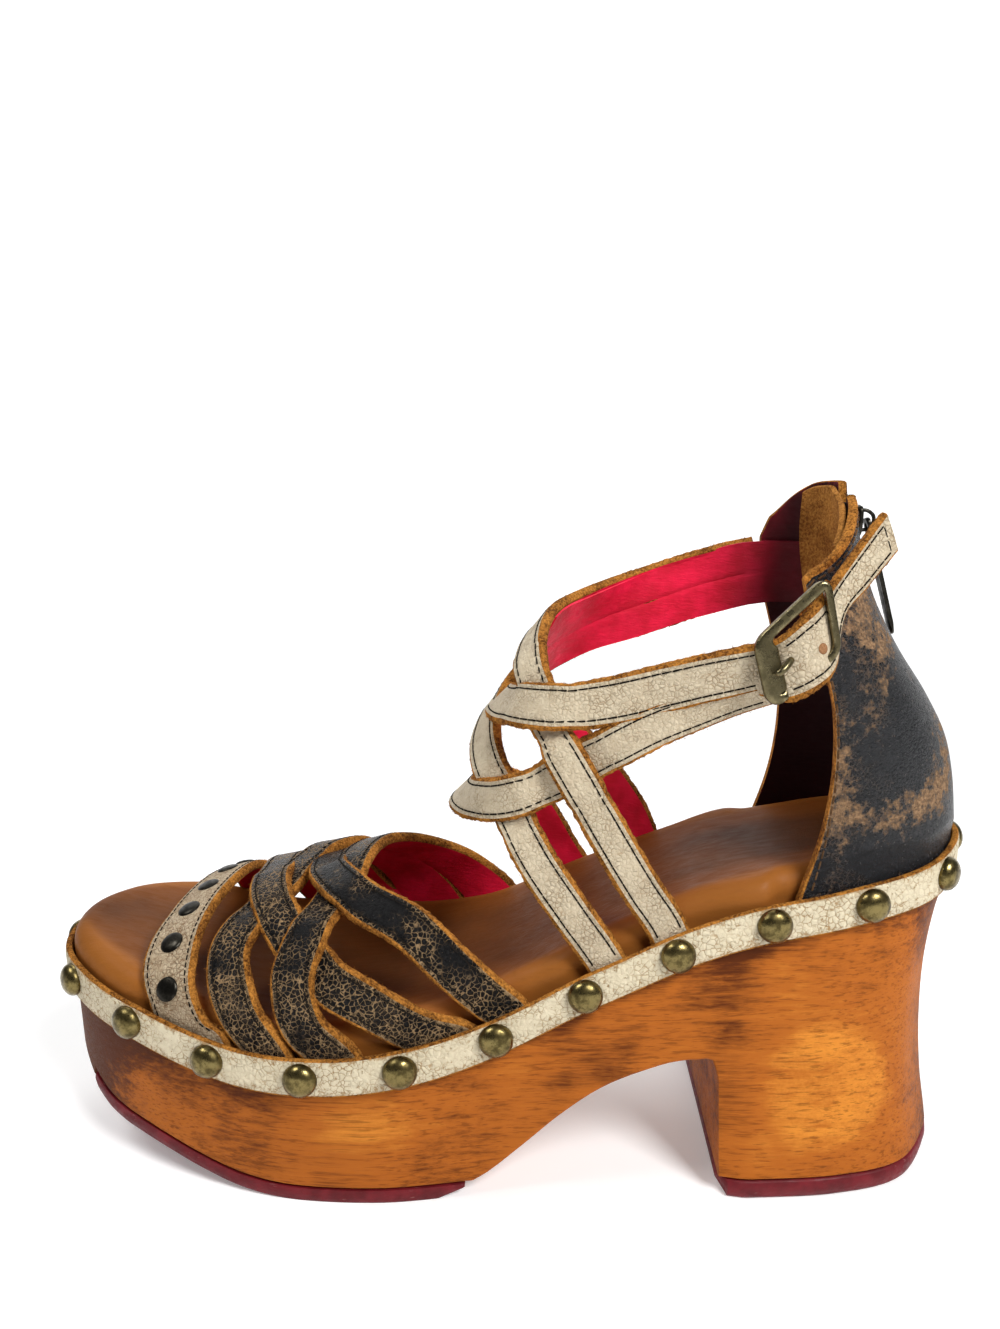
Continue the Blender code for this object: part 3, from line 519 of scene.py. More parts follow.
def counter_point(turn: Array, z: Array, side: Side, depth: float = 0.0) -> Array:
    """Point of the counter: a straight front, then a full quarter curve to the back.

    Args:
        turn: 0 at the front edge to 1 at the back.
        z: height.
        side: which half.
        depth: distance in from the outer face.

    Returns:
        Points with the arguments' shape and x, y, z last.
    """
    sign = side.value[0]
    trim, flare = COUNTER_TRIM[sign]
    back, half, bend_x, front = (table(COUNTER, c, z) for c in (1, 2, 3, 4))
    bend = np.clip((turn - COUNTER_STRAIGHT) / (1 - COUNTER_STRAIGHT), 0, 1) * np.pi / 2
    straight = np.clip(1 - turn / COUNTER_STRAIGHT, 0, 1)
    bend_x = np.maximum(bend_x, front + 2)
    sine, cosine = np.sin(bend) ** COUNTER_POWER, np.clip(np.cos(bend), 0, 1) ** COUNTER_POWER
    x = bend_x + (back - depth - bend_x) * sine - straight * (bend_x - front)
    spread = flare * straight * np.clip((COUNTER_FLARE_Z - z) / COUNTER_FLARE_RUN, 0, 1)
    y = (half + trim - depth) * cosine + spread
    free = np.clip(z - COUNTER_FREE_Z, 0, None) * COUNTER_FREE_SLOPE
    y = np.minimum(y, groove_width(x, sign, RAND_THICK + GAP + depth) + free)
    y = np.maximum(y, ZIP_HALF)
    return np.stack([x, sign * y, z + 0 * x], axis=-1)


def lid(ring: Array, across: int) -> Array:
    """Straight lines across a ring, from its lateral to its medial side.

    Args:
        ring: points from the toe down the lateral side and back.
        across: points on each line.

    Returns:
        Lines by points by x, y, z.
    """
    half = len(ring) // 2
    lateral = ring[: half + 1]
    medial = np.vstack([ring[:1], ring[half:][::-1]])[: half + 1]
    t = np.linspace(0, 1, across)[None, :, None]
    return lateral[:, None] * (1 - t) + medial[:, None] * t


def quads(rows: int, columns: int, wrap: tuple[bool, bool]) -> Array:
    """Corner numbers of the faces between neighbours of a grid.

    Args:
        rows: rows of points.
        columns: points in each.
        wrap: whether the last row joins the first, and the last column the first.

    Returns:
        Rows by columns of faces by four corners.
    """
    i = np.arange(rows if wrap[0] else rows - 1)[:, None]
    j = np.arange(columns if wrap[1] else columns - 1)[None]
    k, m = (i + 1) % rows, (j + 1) % columns
    corners = (i * columns + j, i * columns + m, k * columns + m, k * columns + j)
    return np.stack(np.broadcast_arrays(*corners), axis=-1)


@dataclass
class Shell:
    """Gathers grids of points into one mesh, with a finish for each face and marks for each point."""

    points: list[Array] = field(default_factory=list)
    faces: list[list[int]] = field(default_factory=list)
    finishes: list[int] = field(default_factory=list)
    marks: dict[str, list[Array]] = field(default_factory=dict)
    count: int = 0

    def _place(self, points: Array, marks: dict[str, Array]) -> int:
        """Adds points and their marks.

        Args:
            points: x, y, z last.
            marks: values for each point, by name.

        Returns:
            The number of the first point.
        """
        first = self.count
        flat = np.asarray(points, float).reshape(-1, 3)
        for name in set(marks) | set(self.marks):
            before = self.marks.setdefault(name, [np.zeros(first)] if first else [])
            before.append(np.broadcast_to(marks.get(name, 0.0), np.shape(points)[:-1]).ravel())
        self.points.append(flat)
        self.count += len(flat)
        return first

    def grid(
        self,
        points: Array,
        finish: int | Array = 0,
        wrap: tuple[bool, bool] = (False, False),
        caps: bool = False,
        cap_finish: int = 0,
        marks: dict[str, Array] | None = None,
    ) -> None:
        """Adds a grid of points as quads between neighbours.

        Args:
            points: rows by columns by x, y, z.
            finish: finish of every face, or one for each column of faces.
            wrap: whether the last row joins the first, and the last column the first.
            caps: closes the first and last row with a face.
            cap_finish: the finish of these.
            marks: values for each point, by name.
        """
        rows, columns = points.shape[:2]
        first = self._place(points, marks or {})
        faces = quads(rows, columns, wrap) + first
        self.faces += faces.reshape(-1, 4).tolist()
        self.finishes += np.broadcast_to(finish, faces.shape[:2]).ravel().tolist()
        if caps:
            ring = np.arange(columns) + first
            self.faces += [ring[::-1].tolist(), (ring + (rows - 1) * columns).tolist()]
            self.finishes += [cap_finish, cap_finish]

    def stamps(self, base: Array, frames: Array, centres: Array, finish: int = 0) -> None:
        """Repeats a small closed shape: each copy is the base grid turned by its frame and moved.

        Args:
            base: rows by columns by three local coordinates, its columns closed into rings.
            frames: for each copy, the three directions of the local axes as rows.
            centres: the place of each copy.
            finish: finish of every face.
        """
        rows, columns = base.shape[:2]
        copies = len(centres)
        placed = np.einsum("rci,nij->nrcj", base, frames) + np.asarray(centres)[:, None, None]
        first = self._place(placed, {})
        one = quads(rows, columns, (False, True)).reshape(-1, 4)
        faces = one[None] + np.arange(copies)[:, None, None] * rows * columns + first
        self.faces += faces.reshape(-1, 4).tolist()
        self.finishes += [finish] * (copies * len(one))

    def build(self, name: str, materials: Sequence, sharp: float = 38.0) -> bpy.types.Object:
        """Makes the object, merges the grids where they meet and turns every face outwards.

        Args:
            name: the piece's name.
            materials: one for each finish number.
            sharp: edges bent by more degrees than this stay crisp.

        Returns:
            The object, at the origin with its place in its mesh.
        """
        mesh = bpy.data.meshes.new(name)
        mesh.from_pydata(((np.vstack(self.points) + SHIFT) * MM).tolist(), [], self.faces)
        mesh.polygons.foreach_set("material_index", np.asarray(self.finishes, np.int32))
        for mark, parts in self.marks.items():
            layer = mesh.attributes.new(mark, "FLOAT", "POINT")
            layer.data.foreach_set("value", np.concatenate(parts).astype(np.float32))
        work = bmesh.new()
        work.from_mesh(mesh)
        bmesh.ops.remove_doubles(work, verts=work.verts, dist=MERGE)
        bmesh.ops.recalc_face_normals(work, faces=work.faces)
        work.to_mesh(mesh)
        work.free()
        mesh.shade_smooth()
        mesh.set_sharp_from_angle(angle=math.radians(sharp))
        for material in materials:
            mesh.materials.append(material)
        made = bpy.data.objects.new(name, mesh)
        bpy.context.scene.collection.objects.link(made)
        return made


def dress(made: bpy.types.Object, slot: Slot, *nodes: str, body: Body = Body.SANDAL) -> bpy.types.Object:
    """Fixes a piece to its body, and hides the solids that it stands for.

    Args:
        made: the piece.
        slot: the record's slot for its main finish; not used.
        nodes: solids that it replaces.
        body: what it moves with.

    Returns:
        The piece.
    """
    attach(made, body.value)
    if nodes:
        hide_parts(*nodes)
    LOG.info("%s: %d faces, replaces %d solids", made.name, len(made.data.polygons), len(nodes))
    return made


def circle(count: int) -> Array:
    """Points of a circle of radius one."""
    turn = np.linspace(0, 2 * np.pi, count, endpoint=False)
    return np.stack([np.cos(turn), np.sin(turn)], axis=1)


def lathe(wide: Array, high: Array, sides: int) -> Array:
    """Rings about the third local axis.

    Args:
        wide: radius of each ring.
        high: height of each ring.
        sides: points round it.

    Returns:
        Rings by points by three local coordinates.
    """
    rings = wide[:, None, None] * circle(sides)
    return np.concatenate([rings, np.tile(high[:, None, None], (1, sides, 1))], axis=2)


def capsule(length: float, radius: float, sides: int = 6) -> Array:
    """Low capsule along its first local axis: rings whose radius follows a half circle at the ends.

    Args:
        length: from tip to tip.
        radius: radius of its middle.
        sides: points round it.

    Returns:
        Rings by points by three local coordinates.
    """
    tip = length / 2 - np.array([0.0, 0.3, 1.0]) * radius
    wide = np.array([0.0, 0.7, 1.0, 1.0, 0.7, 0.0]) * radius
    return lathe(wide, np.r_[-tip, tip[::-1]], sides)[..., [2, 0, 1]]


def dome(radius: float, height: float, sides: int = 28, rows: int = 8) -> Array:
    """Stud head about its third local axis: a short straight skirt under a round cap.

    Args:
        radius: radius of its foot.
        height: height of its cap.
        sides: points round it.
        rows: rings of the cap.

    Returns:
        Rings by points by three local coordinates.
    """
    turn = np.linspace(0, np.pi / 2, rows)
    wide = np.r_[0, 0.94, 1.0, np.cos(turn)[1:] ** 0.82] * radius
    high = np.r_[-0.25, -0.25, 0.0, np.sin(turn)[1:]] * height
    return lathe(wide, high, sides)


def frames_from(out: Array, along: Array | None = None) -> Array:
    """Frames whose third axis is out and whose first is along, or any direction square to out.

    Args:
        out: outward directions.
        along: wanted first axes.

    Returns:
        Three rows for each copy.
    """
    out = unit(np.asarray(out, float))
    if along is None:
        along = np.cross(out, np.tile((0.3, 0.2, 0.93), (len(out), 1)))
    along = unit(along - np.sum(along * out, axis=1, keepdims=True) * out)
    return np.stack([along, np.cross(out, along), out], axis=1)


def superellipse(count: int, power: float) -> Array:
    """Points of a rounded square between -1 and 1: cosine and sine raised to 2 / power."""
    ring = circle(count)
    return np.sign(ring) * np.abs(ring) ** (2 / power)


SMOOTH_STEP = {"interpolation_type": "SMOOTHSTEP"}
CELL_BORDERS = {"feature": "DISTANCE_TO_EDGE"}


class Graph:
    """Nodes of one procedural material, read at the piece's own coordinates."""

    def __init__(self, name: str) -> None:
        """Starts a material with one shader.

        Args:
            name: the material's name.
        """
        self.material = bpy.data.materials.new(name)
        self.material.use_nodes = True
        self.tree = self.material.node_tree
        self.shader = self.tree.nodes["Principled BSDF"]
        self.place = self.node("ShaderNodeTexCoord", {}, {}).outputs["Object"]

    def put(self, socket: Socket, value: Value) -> None:
        """Links or sets one input.

        Args:
            socket: the input.
            value: another node's output, or a constant.
        """
        if isinstance(value, Socket):
            self.tree.links.new(value, socket)
        elif socket.type == "RGBA":
            socket.default_value = (*value, 1.0)
        else:
            socket.default_value = value

    def node(self, kind: str, settings: dict, inputs: dict) -> bpy.types.Node:
        """New node with its settings and inputs.

        Args:
            kind: its type.
            settings: its properties, by name.
            inputs: its inputs, by name or number.

        Returns:
            The node.
        """
        made = self.tree.nodes.new(kind)
        for key, value in settings.items():
            setattr(made, key, value)
        for key, value in inputs.items():
            self.put(made.inputs[key], value)
        return made

    def scaled(self, scale: Triple, turn: Triple = (0, 0, 0)) -> Socket:
        """Coordinates stretched by a scale for each axis, after a turn."""
        inputs = {"Vector": self.place, "Scale": scale, "Rotation": turn}
        return self.node("ShaderNodeMapping", {}, inputs).outputs["Vector"]

    def noise(
        self, size: float, detail: float = 4.0, rough: float = 0.55,
        at: Socket | None = None, warp: float = 0.0,
    ) -> Socket:
        """Cloudy noise.

        Args:
            size: size of its features in millimetres.
            detail: number of finer layers.
            rough: strength of each finer layer.
            at: coordinates, or none for the piece's own.
            warp: how far it bends itself.

        Returns:
            The noise, about 0.5.
        """
        inputs = {
            "Vector": at or self.place,
            "Scale": 1 / (size * MM),
            "Detail": detail,
            "Roughness": rough,
            "Distortion": warp,
        }
        return self.node("ShaderNodeTexNoise", {}, inputs).outputs["Fac"]

    def cells(self, size: float, at: Socket | None = None) -> Socket:
        """Distance to the nearest border between random cells of a size in millimetres."""
        inputs = {"Vector": at or self.place, "Scale": 1 / (size * MM)}
        return self.node("ShaderNodeTexVoronoi", CELL_BORDERS, inputs).outputs["Distance"]

    def warped(self, size: float, amount: float) -> Socket:
        """Coordinates pushed about by noise.

        Args:
            size: size of the noise in millimetres.
            amount: how far it pushes them, in millimetres.

        Returns:
            The coordinates.
        """
        cloud = self.node("ShaderNodeTexNoise", {}, {"Vector": self.place, "Scale": 1 / (size * MM)})
        push = self.node("ShaderNodeVectorMath", {"operation": "SCALE"}, {0: cloud.outputs["Color"]})
        push.inputs["Scale"].default_value = amount * MM
        inputs = {0: self.place, 1: push.outputs[0]}
        return self.node("ShaderNodeVectorMath", {"operation": "ADD"}, inputs).outputs[0]

    def fit(self, value: Value, low: float, high: float, start: float = 0.0, end: float = 1.0) -> Socket:
        """Value moved smoothly from the range low to high into start to end."""
        inputs = {"Value": value, "From Min": low, "From Max": high, "To Min": start, "To Max": end}
        return self.node("ShaderNodeMapRange", SMOOTH_STEP, inputs).outputs["Result"]

    def math(self, operation: str, first: Value, second: Value, held: bool = True) -> Socket:
        """One sum, product or other operation, held to 0 to 1 unless that is turned off."""
        settings = {"operation": operation, "use_clamp": held}
        return self.node("ShaderNodeMath", settings, {0: first, 1: second}).outputs[0]

    def mix(self, share: Value, first: Value, second: Value) -> Socket:
        """Colour between two, by a share."""
        inputs = {0: share, 6: first, 7: second}
        return self.node("ShaderNodeMix", {"data_type": "RGBA"}, inputs).outputs[2]

    def mark(self, name: str) -> Socket:
        """Value that the piece's points carry under a name."""
        return self.node("ShaderNodeAttribute", {"attribute_name": name}, {}).outputs["Fac"]

    def relief(self, height: Value, depth: float, under: Socket | None = None) -> Socket:
        """Bump of a depth in millimetres, laid over another bump's normal if there is one."""
        below = {} if under is None else {"Normal": under}
        inputs = {"Height": height, "Distance": depth * MM, "Strength": 1.0, **below}
        return self.node("ShaderNodeBump", {}, inputs).outputs["Normal"]

    def finish(self, colour: Value, rough: Value, normal: Socket, **plain: float) -> Material:
        """Joins the parts to the shader.

        Args:
            colour: base colour.
            rough: roughness.
            normal: bumped normal.
            plain: shader inputs that are the same all over, with underscores for spaces.

        Returns:
            The material.
        """
        self.put(self.shader.inputs["Base Color"], colour)
        self.put(self.shader.inputs["Roughness"], rough)
        self.put(self.shader.inputs["Normal"], normal)
        for name, value in plain.items():
            self.put(self.shader.inputs[name.replace("_", " ")], value)
        return self.material


@dataclass(frozen=True)
class Finish(ABC):
    """A look with a name of its own."""

    name: str

    @abstractmethod
    def material(self) -> Material:
        """The look's material."""


@dataclass(frozen=True)
class PaintedLeather(Finish):
    """Painted leather, crackled in patches and rubbed through along its edges."""

    paint: Colour
    tone: Colour
    crack: Colour
    bare: Colour
    cell: float  # distance between cracks
    width: float  # width of a crack as a share of a cell
    reach: tuple[float, float]  # patch noise at which cracks begin and are all open
    chips: tuple[float, float]  # fleck noise at which small chips begin and are bare
    rub: tuple[float, float]  # rub mark, with noise, at which the paint begins to go and is gone
    gloss: float
    grain: float = 0.1
    specular: float = 0.2
    patch_size: float = 9.0  # size of the cracked patches
    chip_size: float = 1.3
    rub_size: float = 2.8  # size of the islands of paint at a rubbed edge
    tone_size: float = 3.2

    def material(self) -> Material:
        """Cell borders opened by patchy noise over two tones of paint, with chips and rubbed bare hide.

        Returns:
            The material.
        """
        g = Graph(self.name)
        spot = g.warped(self.cell * 1.2, self.cell * 0.8)
        rubbed, age = g.mark("rub"), g.mark("age")
        old = g.math("ADD", g.math("MULTIPLY", rubbed, 0.35), g.math("MULTIPLY", age, 0.3))
        patch = g.math("ADD", g.noise(self.patch_size, 4), old)
        border = g.cells(self.cell, spot)
        swell = g.fit(g.noise(2.6, 4, 0.65), 0.32, 0.68, 0.55, 1.7)
        fine = g.fit(g.math("DIVIDE", border, swell, held=False), 0.0, self.width, 1.0, 0.0)
        broken = g.fit(g.noise(self.cell * 2.0, 3), 0.28, 0.46)
        lines = g.math("MULTIPLY", g.math("MULTIPLY", fine, broken), g.fit(patch, *self.reach))
        branch = g.fit(g.cells(self.cell * 0.45, spot), 0.0, self.width, 0.75, 0.0)
        branch = g.math("MULTIPLY", branch, g.fit(patch, self.reach[1] - 0.04, self.reach[1] + 0.26))
        lines = g.math("MAXIMUM", lines, branch)
        chips = g.math("ADD", g.noise(self.chip_size, 6, 0.72), g.math("MULTIPLY", rubbed, 0.12))
        chips = g.fit(chips, *self.chips)
        worn = g.math("ADD", rubbed, g.fit(g.noise(self.rub_size, 6, 0.72), 0.2, 0.8, -0.5, 0.5))
        worn = g.fit(worn, *self.rub)
        colour = g.mix(g.fit(g.noise(self.tone_size, 6, 0.75), 0.34, 0.7), self.paint, self.tone)
        bare = g.mix(g.fit(g.noise(0.9, 3, 0.7), 0.35, 0.65), self.bare, self.crack)
        flaw = g.math("MAXIMUM", lines, chips)
        colour = g.mix(flaw, colour, self.crack)
        colour = g.mix(worn, colour, bare)
        flaw = g.math("MAXIMUM", flaw, worn)
        rough = g.fit(flaw, 0.0, 1.0, self.gloss, 0.9)
        crease = g.noise(1.1, 5, 0.7, warp=1.2)
        normal = g.relief(g.fit(border, 0.0, 0.45), self.grain)
        normal = g.relief(crease, self.grain * 2.2, normal)
        normal = g.relief(g.math("SUBTRACT", 1.0, flaw), 0.12, normal)
        return g.finish(colour, rough, normal, Specular_IOR_Level=self.specular)


@dataclass(frozen=True)
class RawHide(Finish):
    """Cut leather edge or suede: fibres of several tones, fully matt."""

    light: Colour
    dark: Colour
    fibre: float
    depth: float

    def material(self) -> Material:
        """Two sizes of fibre noise between the tones, with a deep nap.

        Returns:
            The material.
        """
        g = Graph(self.name)
        nap = g.noise(self.fibre, 4, 0.75)
        cloud = g.noise(self.fibre * 9, 3)
        share = g.math("ADD", g.fit(nap, 0.36, 0.64, 0.0, 0.75), g.fit(cloud, 0.35, 0.65, -0.15, 0.3))
        colour = g.mix(share, self.dark, self.light)
        return g.finish(colour, 0.95, g.relief(nap, self.depth), Specular_IOR_Level=0.1)


@dataclass(frozen=True)
class Lining(Finish):
    """Smooth dyed lining leather with fine creases."""

    dye: Colour
    shade: Colour
    # deep: near-black red of painted shade deep inside the shoe
    deep: Colour = (0.012, 0.0008, 0.0016)
    gloss: float = 0.42

    def material(self) -> Material:
        """Soft clouds of dye, short creases and pores, with painted shade in the creases and from the deep
        mark.

        Returns:
            The material.
        """
        g = Graph(self.name)
        crease = g.noise(1.6, 5, 0.65, g.scaled((0.45, 1.0, 1.9)), 0.6)
        pores = g.noise(0.35, 2)
        colour = g.mix(g.fit(g.noise(9.0, 3), 0.3, 0.7), self.shade, self.dye)
        # the creases and the deep mark darken the dye: painted shade
        colour = g.mix(g.fit(crease, 0.58, 0.8, 0.0, 0.55), colour, self.shade)
        colour = g.mix(g.mark("deep"), colour, self.deep)
        rough = g.fit(crease, 0.3, 0.7, self.gloss, self.gloss + 0.2)
        normal = g.relief(pores, 0.05, g.relief(crease, 0.22))
        return g.finish(colour, rough, normal, Specular_IOR_Level=0.2)


@dataclass(frozen=True)
class StainedWood(Finish):
    """Stained wood with lengthwise grain, darkened by painted shade and lightened towards gold by painted
    highlights.
    """

    dark: Colour
    amber: Colour
    gold: Colour
    gloss: float

    def material(self) -> Material:
        """Fine fibres and soft bands along the shoe, lightened by a painted highlight mark and darkened by
        a painted shade mark.

        Returns:
            The material.
        """
        g = Graph(self.name)
        lean = (0.0, 0.1, 0.03)
        bands = g.noise(7.0, 4, 0.55, g.scaled((0.1, 1.0, 1.0), lean), 1.0)
        fibres = g.noise(0.9, 6, 0.75, g.scaled((0.07, 1.0, 1.0), lean), 0.4)
        pores = g.noise(0.62, 3, 0.6, g.scaled((0.04, 1.0, 1.0), lean))
        blush = g.noise(24.0, 4, 0.55)
        stipple = g.noise(0.8, 3, 0.6)
        streaks = g.noise(1.7, 5, 0.65, g.scaled((0.03, 1.0, 1.0), lean), 0.5)
        tone = g.math("ADD", g.fit(bands, 0.25, 0.75, 0.33, 0.47), g.fit(fibres, 0.25, 0.75, -0.1, 0.1))
        tone = g.math("ADD", tone, g.fit(streaks, 0.3, 0.7, -0.08, 0.08))
        tone = g.math("ADD", tone, g.fit(blush, 0.3, 0.7, -0.13, 0.13))
        # painted highlight: golden lighter patches; painted shade: a darker tone
        golden = g.math("MULTIPLY", g.mark("glow"), g.fit(stipple, 0.2, 0.7, 0.22, 0.32))
        tone = g.math("ADD", tone, golden)
        tone = g.math("SUBTRACT", tone, g.math("MULTIPLY", g.mark("burnish"), 0.42))
        colour = g.mix(g.fit(tone, 0.0, 0.4), self.dark, self.amber)
        colour = g.mix(g.fit(tone, 0.4, 0.9), colour, self.gold)
        colour = g.mix(g.fit(pores, 0.52, 0.66, 0.0, 0.5), colour, self.dark)
        rough = g.fit(fibres, 0.3, 0.7, self.gloss, self.gloss + 0.2)
        normal = g.relief(pores, 0.06, g.relief(fibres, 0.09))
        return g.finish(colour, rough, normal, Specular_IOR_Level=0.06)


@dataclass(frozen=True)
class BurnishedHide(Finish):
    """Vegetable tanned footbed leather, darkened in the middle by wear and painted shade, with a painted
    highlight along its border.
    """

    tan: Colour
    # edge: lighter colour of the painted highlight along the roll; worn: darker colour of wear and painted
    # shade
    edge: Colour
    worn: Colour

    def material(self) -> Material:
        """Lengthwise rub marks and pores over a tone darkened by a mark of wear and painted shade, and
        lightened at the border by a painted highlight.

        Returns:
            The material.
        """
        g = Graph(self.name)
        rub = g.noise(2.0, 5, 0.65, g.scaled((0.16, 1.0, 1.0)), 0.4)
        blot = g.noise(17.0, 4, 0.6)
        pores = g.noise(0.45, 3)
        wear = g.math("ADD", g.mark("wear"), g.fit(blot, 0.3, 0.7, -0.1, 0.1))
        colour = g.mix(g.fit(g.mark("border"), 0.1, 0.9), self.tan, self.edge)
        colour = g.mix(g.fit(wear, 0.1, 1.0), colour, self.worn)
        colour = g.mix(g.fit(rub, 0.5, 0.8, 0.0, 0.18), colour, self.worn)
        rough = g.fit(rub, 0.3, 0.7, 0.38, 0.58)
        normal = g.relief(pores, 0.06, g.relief(rub, 0.12))
        return g.finish(colour, rough, normal, Specular_IOR_Level=0.08)


@dataclass(frozen=True)
class Rubber(Finish):
    """Dyed rubber with pale scuffs and a fine mould texture."""

    dye: Colour
    scuff: Colour

    def material(self) -> Material:
        """Scratches drawn along the shoe over a mottled dye.

        Returns:
            The material.
        """
        g = Graph(self.name)
        scratch = g.noise(1.2, 4, 0.7, g.scaled((0.2, 1.0, 0.7)))
        grit = g.noise(0.5, 2)
        colour = g.mix(g.fit(g.noise(5.0, 3), 0.3, 0.7), self.dye, tuple(0.6 * c for c in self.dye))
        colour = g.mix(g.fit(scratch, 0.6, 0.78, 0.0, 0.7), colour, self.scuff)
        rough = g.fit(scratch, 0.4, 0.75, 0.42, 0.8)
        normal = g.relief(grit, 0.05, g.relief(scratch, 0.1))
        return g.finish(colour, rough, normal, Specular_IOR_Level=0.2)


@dataclass(frozen=True)
class AgedMetal(Finish):
    """Metal with a darker patina in clouds and fine scratches."""

    bright: Colour
    patina: Colour
    gloss: float

    def material(self) -> Material:
        """Patina clouds between two metal tones; the dull tone is the rougher.

        Returns:
            The material.
        """
        g = Graph(self.name)
        cloud = g.noise(2.2, 5, 0.65)
        scratch = g.noise(0.5, 3, 0.6, g.scaled((1.0, 0.3, 1.0), (0.4, 0.2, 0.7)))
        share = g.fit(cloud, 0.38, 0.66)
        colour = g.mix(share, self.bright, self.patina)
        dull = g.math("ADD", g.math("MULTIPLY", share, 0.6), g.math("MULTIPLY", scratch, 0.4))
        rough = g.fit(dull, 0.1, 0.9, self.gloss, self.gloss + 0.2)
        return g.finish(colour, rough, g.relief(scratch, 0.03), Metallic=1.0)


@dataclass(frozen=True)
class WovenTape(Finish):
    """Close plain weave of dark yarn."""

    yarn: Colour
    light: Colour
    pitch: float

    def material(self) -> Material:
        """Two crossed sets of bands, whose product gives the yarns' humps, painted lighter as a painted
        sheen.

        Returns:
            The material.
        """
        g = Graph(self.name)
        bands = [
            g.node(
                "ShaderNodeTexWave",
                {"bands_direction": axis},
                {"Vector": g.place, "Scale": 0.31 / (self.pitch * MM), "Distortion": 0.4},
            ).outputs["Fac"]
            for axis in ("Y", "Z")
        ]
        hump = g.math("MULTIPLY", *bands)
        # humps lighter than the hollows: painted sheen
        colour = g.mix(g.fit(hump, 0.1, 0.8), self.yarn, self.light)
        return g.finish(colour, 0.85, g.relief(hump, 0.15))


CREAM = PaintedLeather(
    name="cream_crackle", paint=(0.64, 0.545, 0.39), tone=(0.53, 0.43, 0.295),
    crack=(0.36, 0.25, 0.14), bare=(0.4, 0.225, 0.095), cell=1.15, width=0.075, reach=(0.34, 0.7),
    chips=(0.6, 0.78), rub=(0.6, 1.15), gloss=0.55, grain=0.2,
)
TOE_CREAM = replace(
    CREAM,
    name="toe_crackle",
    paint=(0.55, 0.44, 0.3),
    tone=(0.38, 0.28, 0.17),
    crack=(0.22, 0.13, 0.065),
    chips=(0.54, 0.7),
)
RAND_CREAM = PaintedLeather(
    name="rand_crackle", paint=(0.73, 0.645, 0.465), tone=(0.64, 0.555, 0.385),
    crack=(0.4, 0.255, 0.12), bare=(0.38, 0.215, 0.09), cell=1.6, width=0.065, reach=(0.36, 0.7),
    chips=(0.57, 0.7), rub=(0.55, 1.1), gloss=0.5, grain=0.14,
)
BLACK = PaintedLeather(
    name="black_craquelure", paint=(0.0035, 0.0035, 0.004), tone=(0.007, 0.0065, 0.007),
    crack=(0.42, 0.27, 0.135), bare=(0.44, 0.285, 0.145), cell=1.25, width=0.1, reach=(0.43, 0.7),
    chips=(0.63, 0.76), rub=(0.58, 0.98), gloss=0.2, grain=0.45, specular=0.14,
)
COUNTER_BLACK = PaintedLeather(
    name="counter_scuffed", paint=(0.005, 0.006, 0.008), tone=(0.012, 0.013, 0.016),
    crack=(0.2, 0.115, 0.06), bare=(0.42, 0.25, 0.125), cell=1.1, width=0.08, reach=(0.56, 0.9),
    chips=(0.62, 0.78), rub=(0.4, 0.8), gloss=0.27, grain=0.5, specular=0.4,
)
RAW_EDGE = RawHide(
    name="raw_edge", light=(0.58, 0.24, 0.042), dark=(0.1, 0.033, 0.006), fibre=0.7, depth=0.6,
)
SUEDE = RawHide(
    name="napped_suede", light=(0.5, 0.22, 0.048), dark=(0.16, 0.06, 0.012), fibre=0.7, depth=0.7,
)
RED_LINING = Lining(name="red_lining", dye=(0.84, 0.012, 0.06), shade=(0.56, 0.006, 0.027))
# red lining darkened all over as painted shade, for the counter's inside and the chape's lining
SHADED_RED_LINING = Lining(
    name="shaded_red_lining", dye=(0.16, 0.004, 0.013), shade=(0.08, 0.002, 0.005), gloss=0.5,
)
WOOD = StainedWood(
    name="stained_wood", dark=(0.09, 0.021, 0.004), amber=(0.41, 0.115, 0.0145),
    gold=(0.66, 0.24, 0.032), gloss=0.42,
)
# edge is a painted highlight along the roll; worn is wear and painted shade
FOOTBED = BurnishedHide(
    name="footbed", tan=(0.16, 0.05, 0.0095), edge=(0.27, 0.093, 0.017), worn=(0.06, 0.021, 0.007),
)
WINE_RUBBER = Rubber(name="wine_rubber", dye=(0.17, 0.012, 0.018), scuff=(0.34, 0.15, 0.14))
BRASS = AgedMetal(
    name="aged_brass", bright=(0.2, 0.155, 0.06), patina=(0.075, 0.057, 0.021), gloss=0.24,
)
BUCKLE_BRASS = replace(
    BRASS,
    name="buckle_brass",
    bright=(0.19, 0.158, 0.085),
    patina=(0.105, 0.088, 0.046),
)
# near-black: the zip's blackened metal, and on the toe studs dark brass with a painted dark reflection
DARK_METAL = AgedMetal(
    name="blackened_metal_and_painted_reflection", bright=(0.035, 0.032, 0.026), patina=(0.01, 0.009, 0.007), gloss=0.3,
)
TAPE = WovenTape(name="zip_tape", yarn=(0.006, 0.006, 0.007), light=(0.03, 0.03, 0.033), pitch=0.7)
THREAD = RawHide(
    name="dark_thread", light=(0.022, 0.016, 0.011), dark=(0.006, 0.005, 0.004), fibre=0.3,
    depth=0.1,
)
HOLE_RIM = RawHide(
    name="hole_rim", light=(0.34, 0.17, 0.08), dark=(0.13, 0.06, 0.025), fibre=0.6, depth=0.2,
)
TAN_THREAD = RawHide(
    name="tan_thread", light=(0.16, 0.085, 0.04), dark=(0.06, 0.03, 0.012), fibre=0.3, depth=0.1,
)


@cache
def look(finish: Finish) -> Material:
    """Material of a finish, made once."""
    return finish.material()


def skins(face: PaintedLeather, lining: Lining) -> list[Material]:
    """Materials of a leather piece: its face, its cut edges and its lining."""
    return [look(face), look(RAW_EDGE), look(lining)]


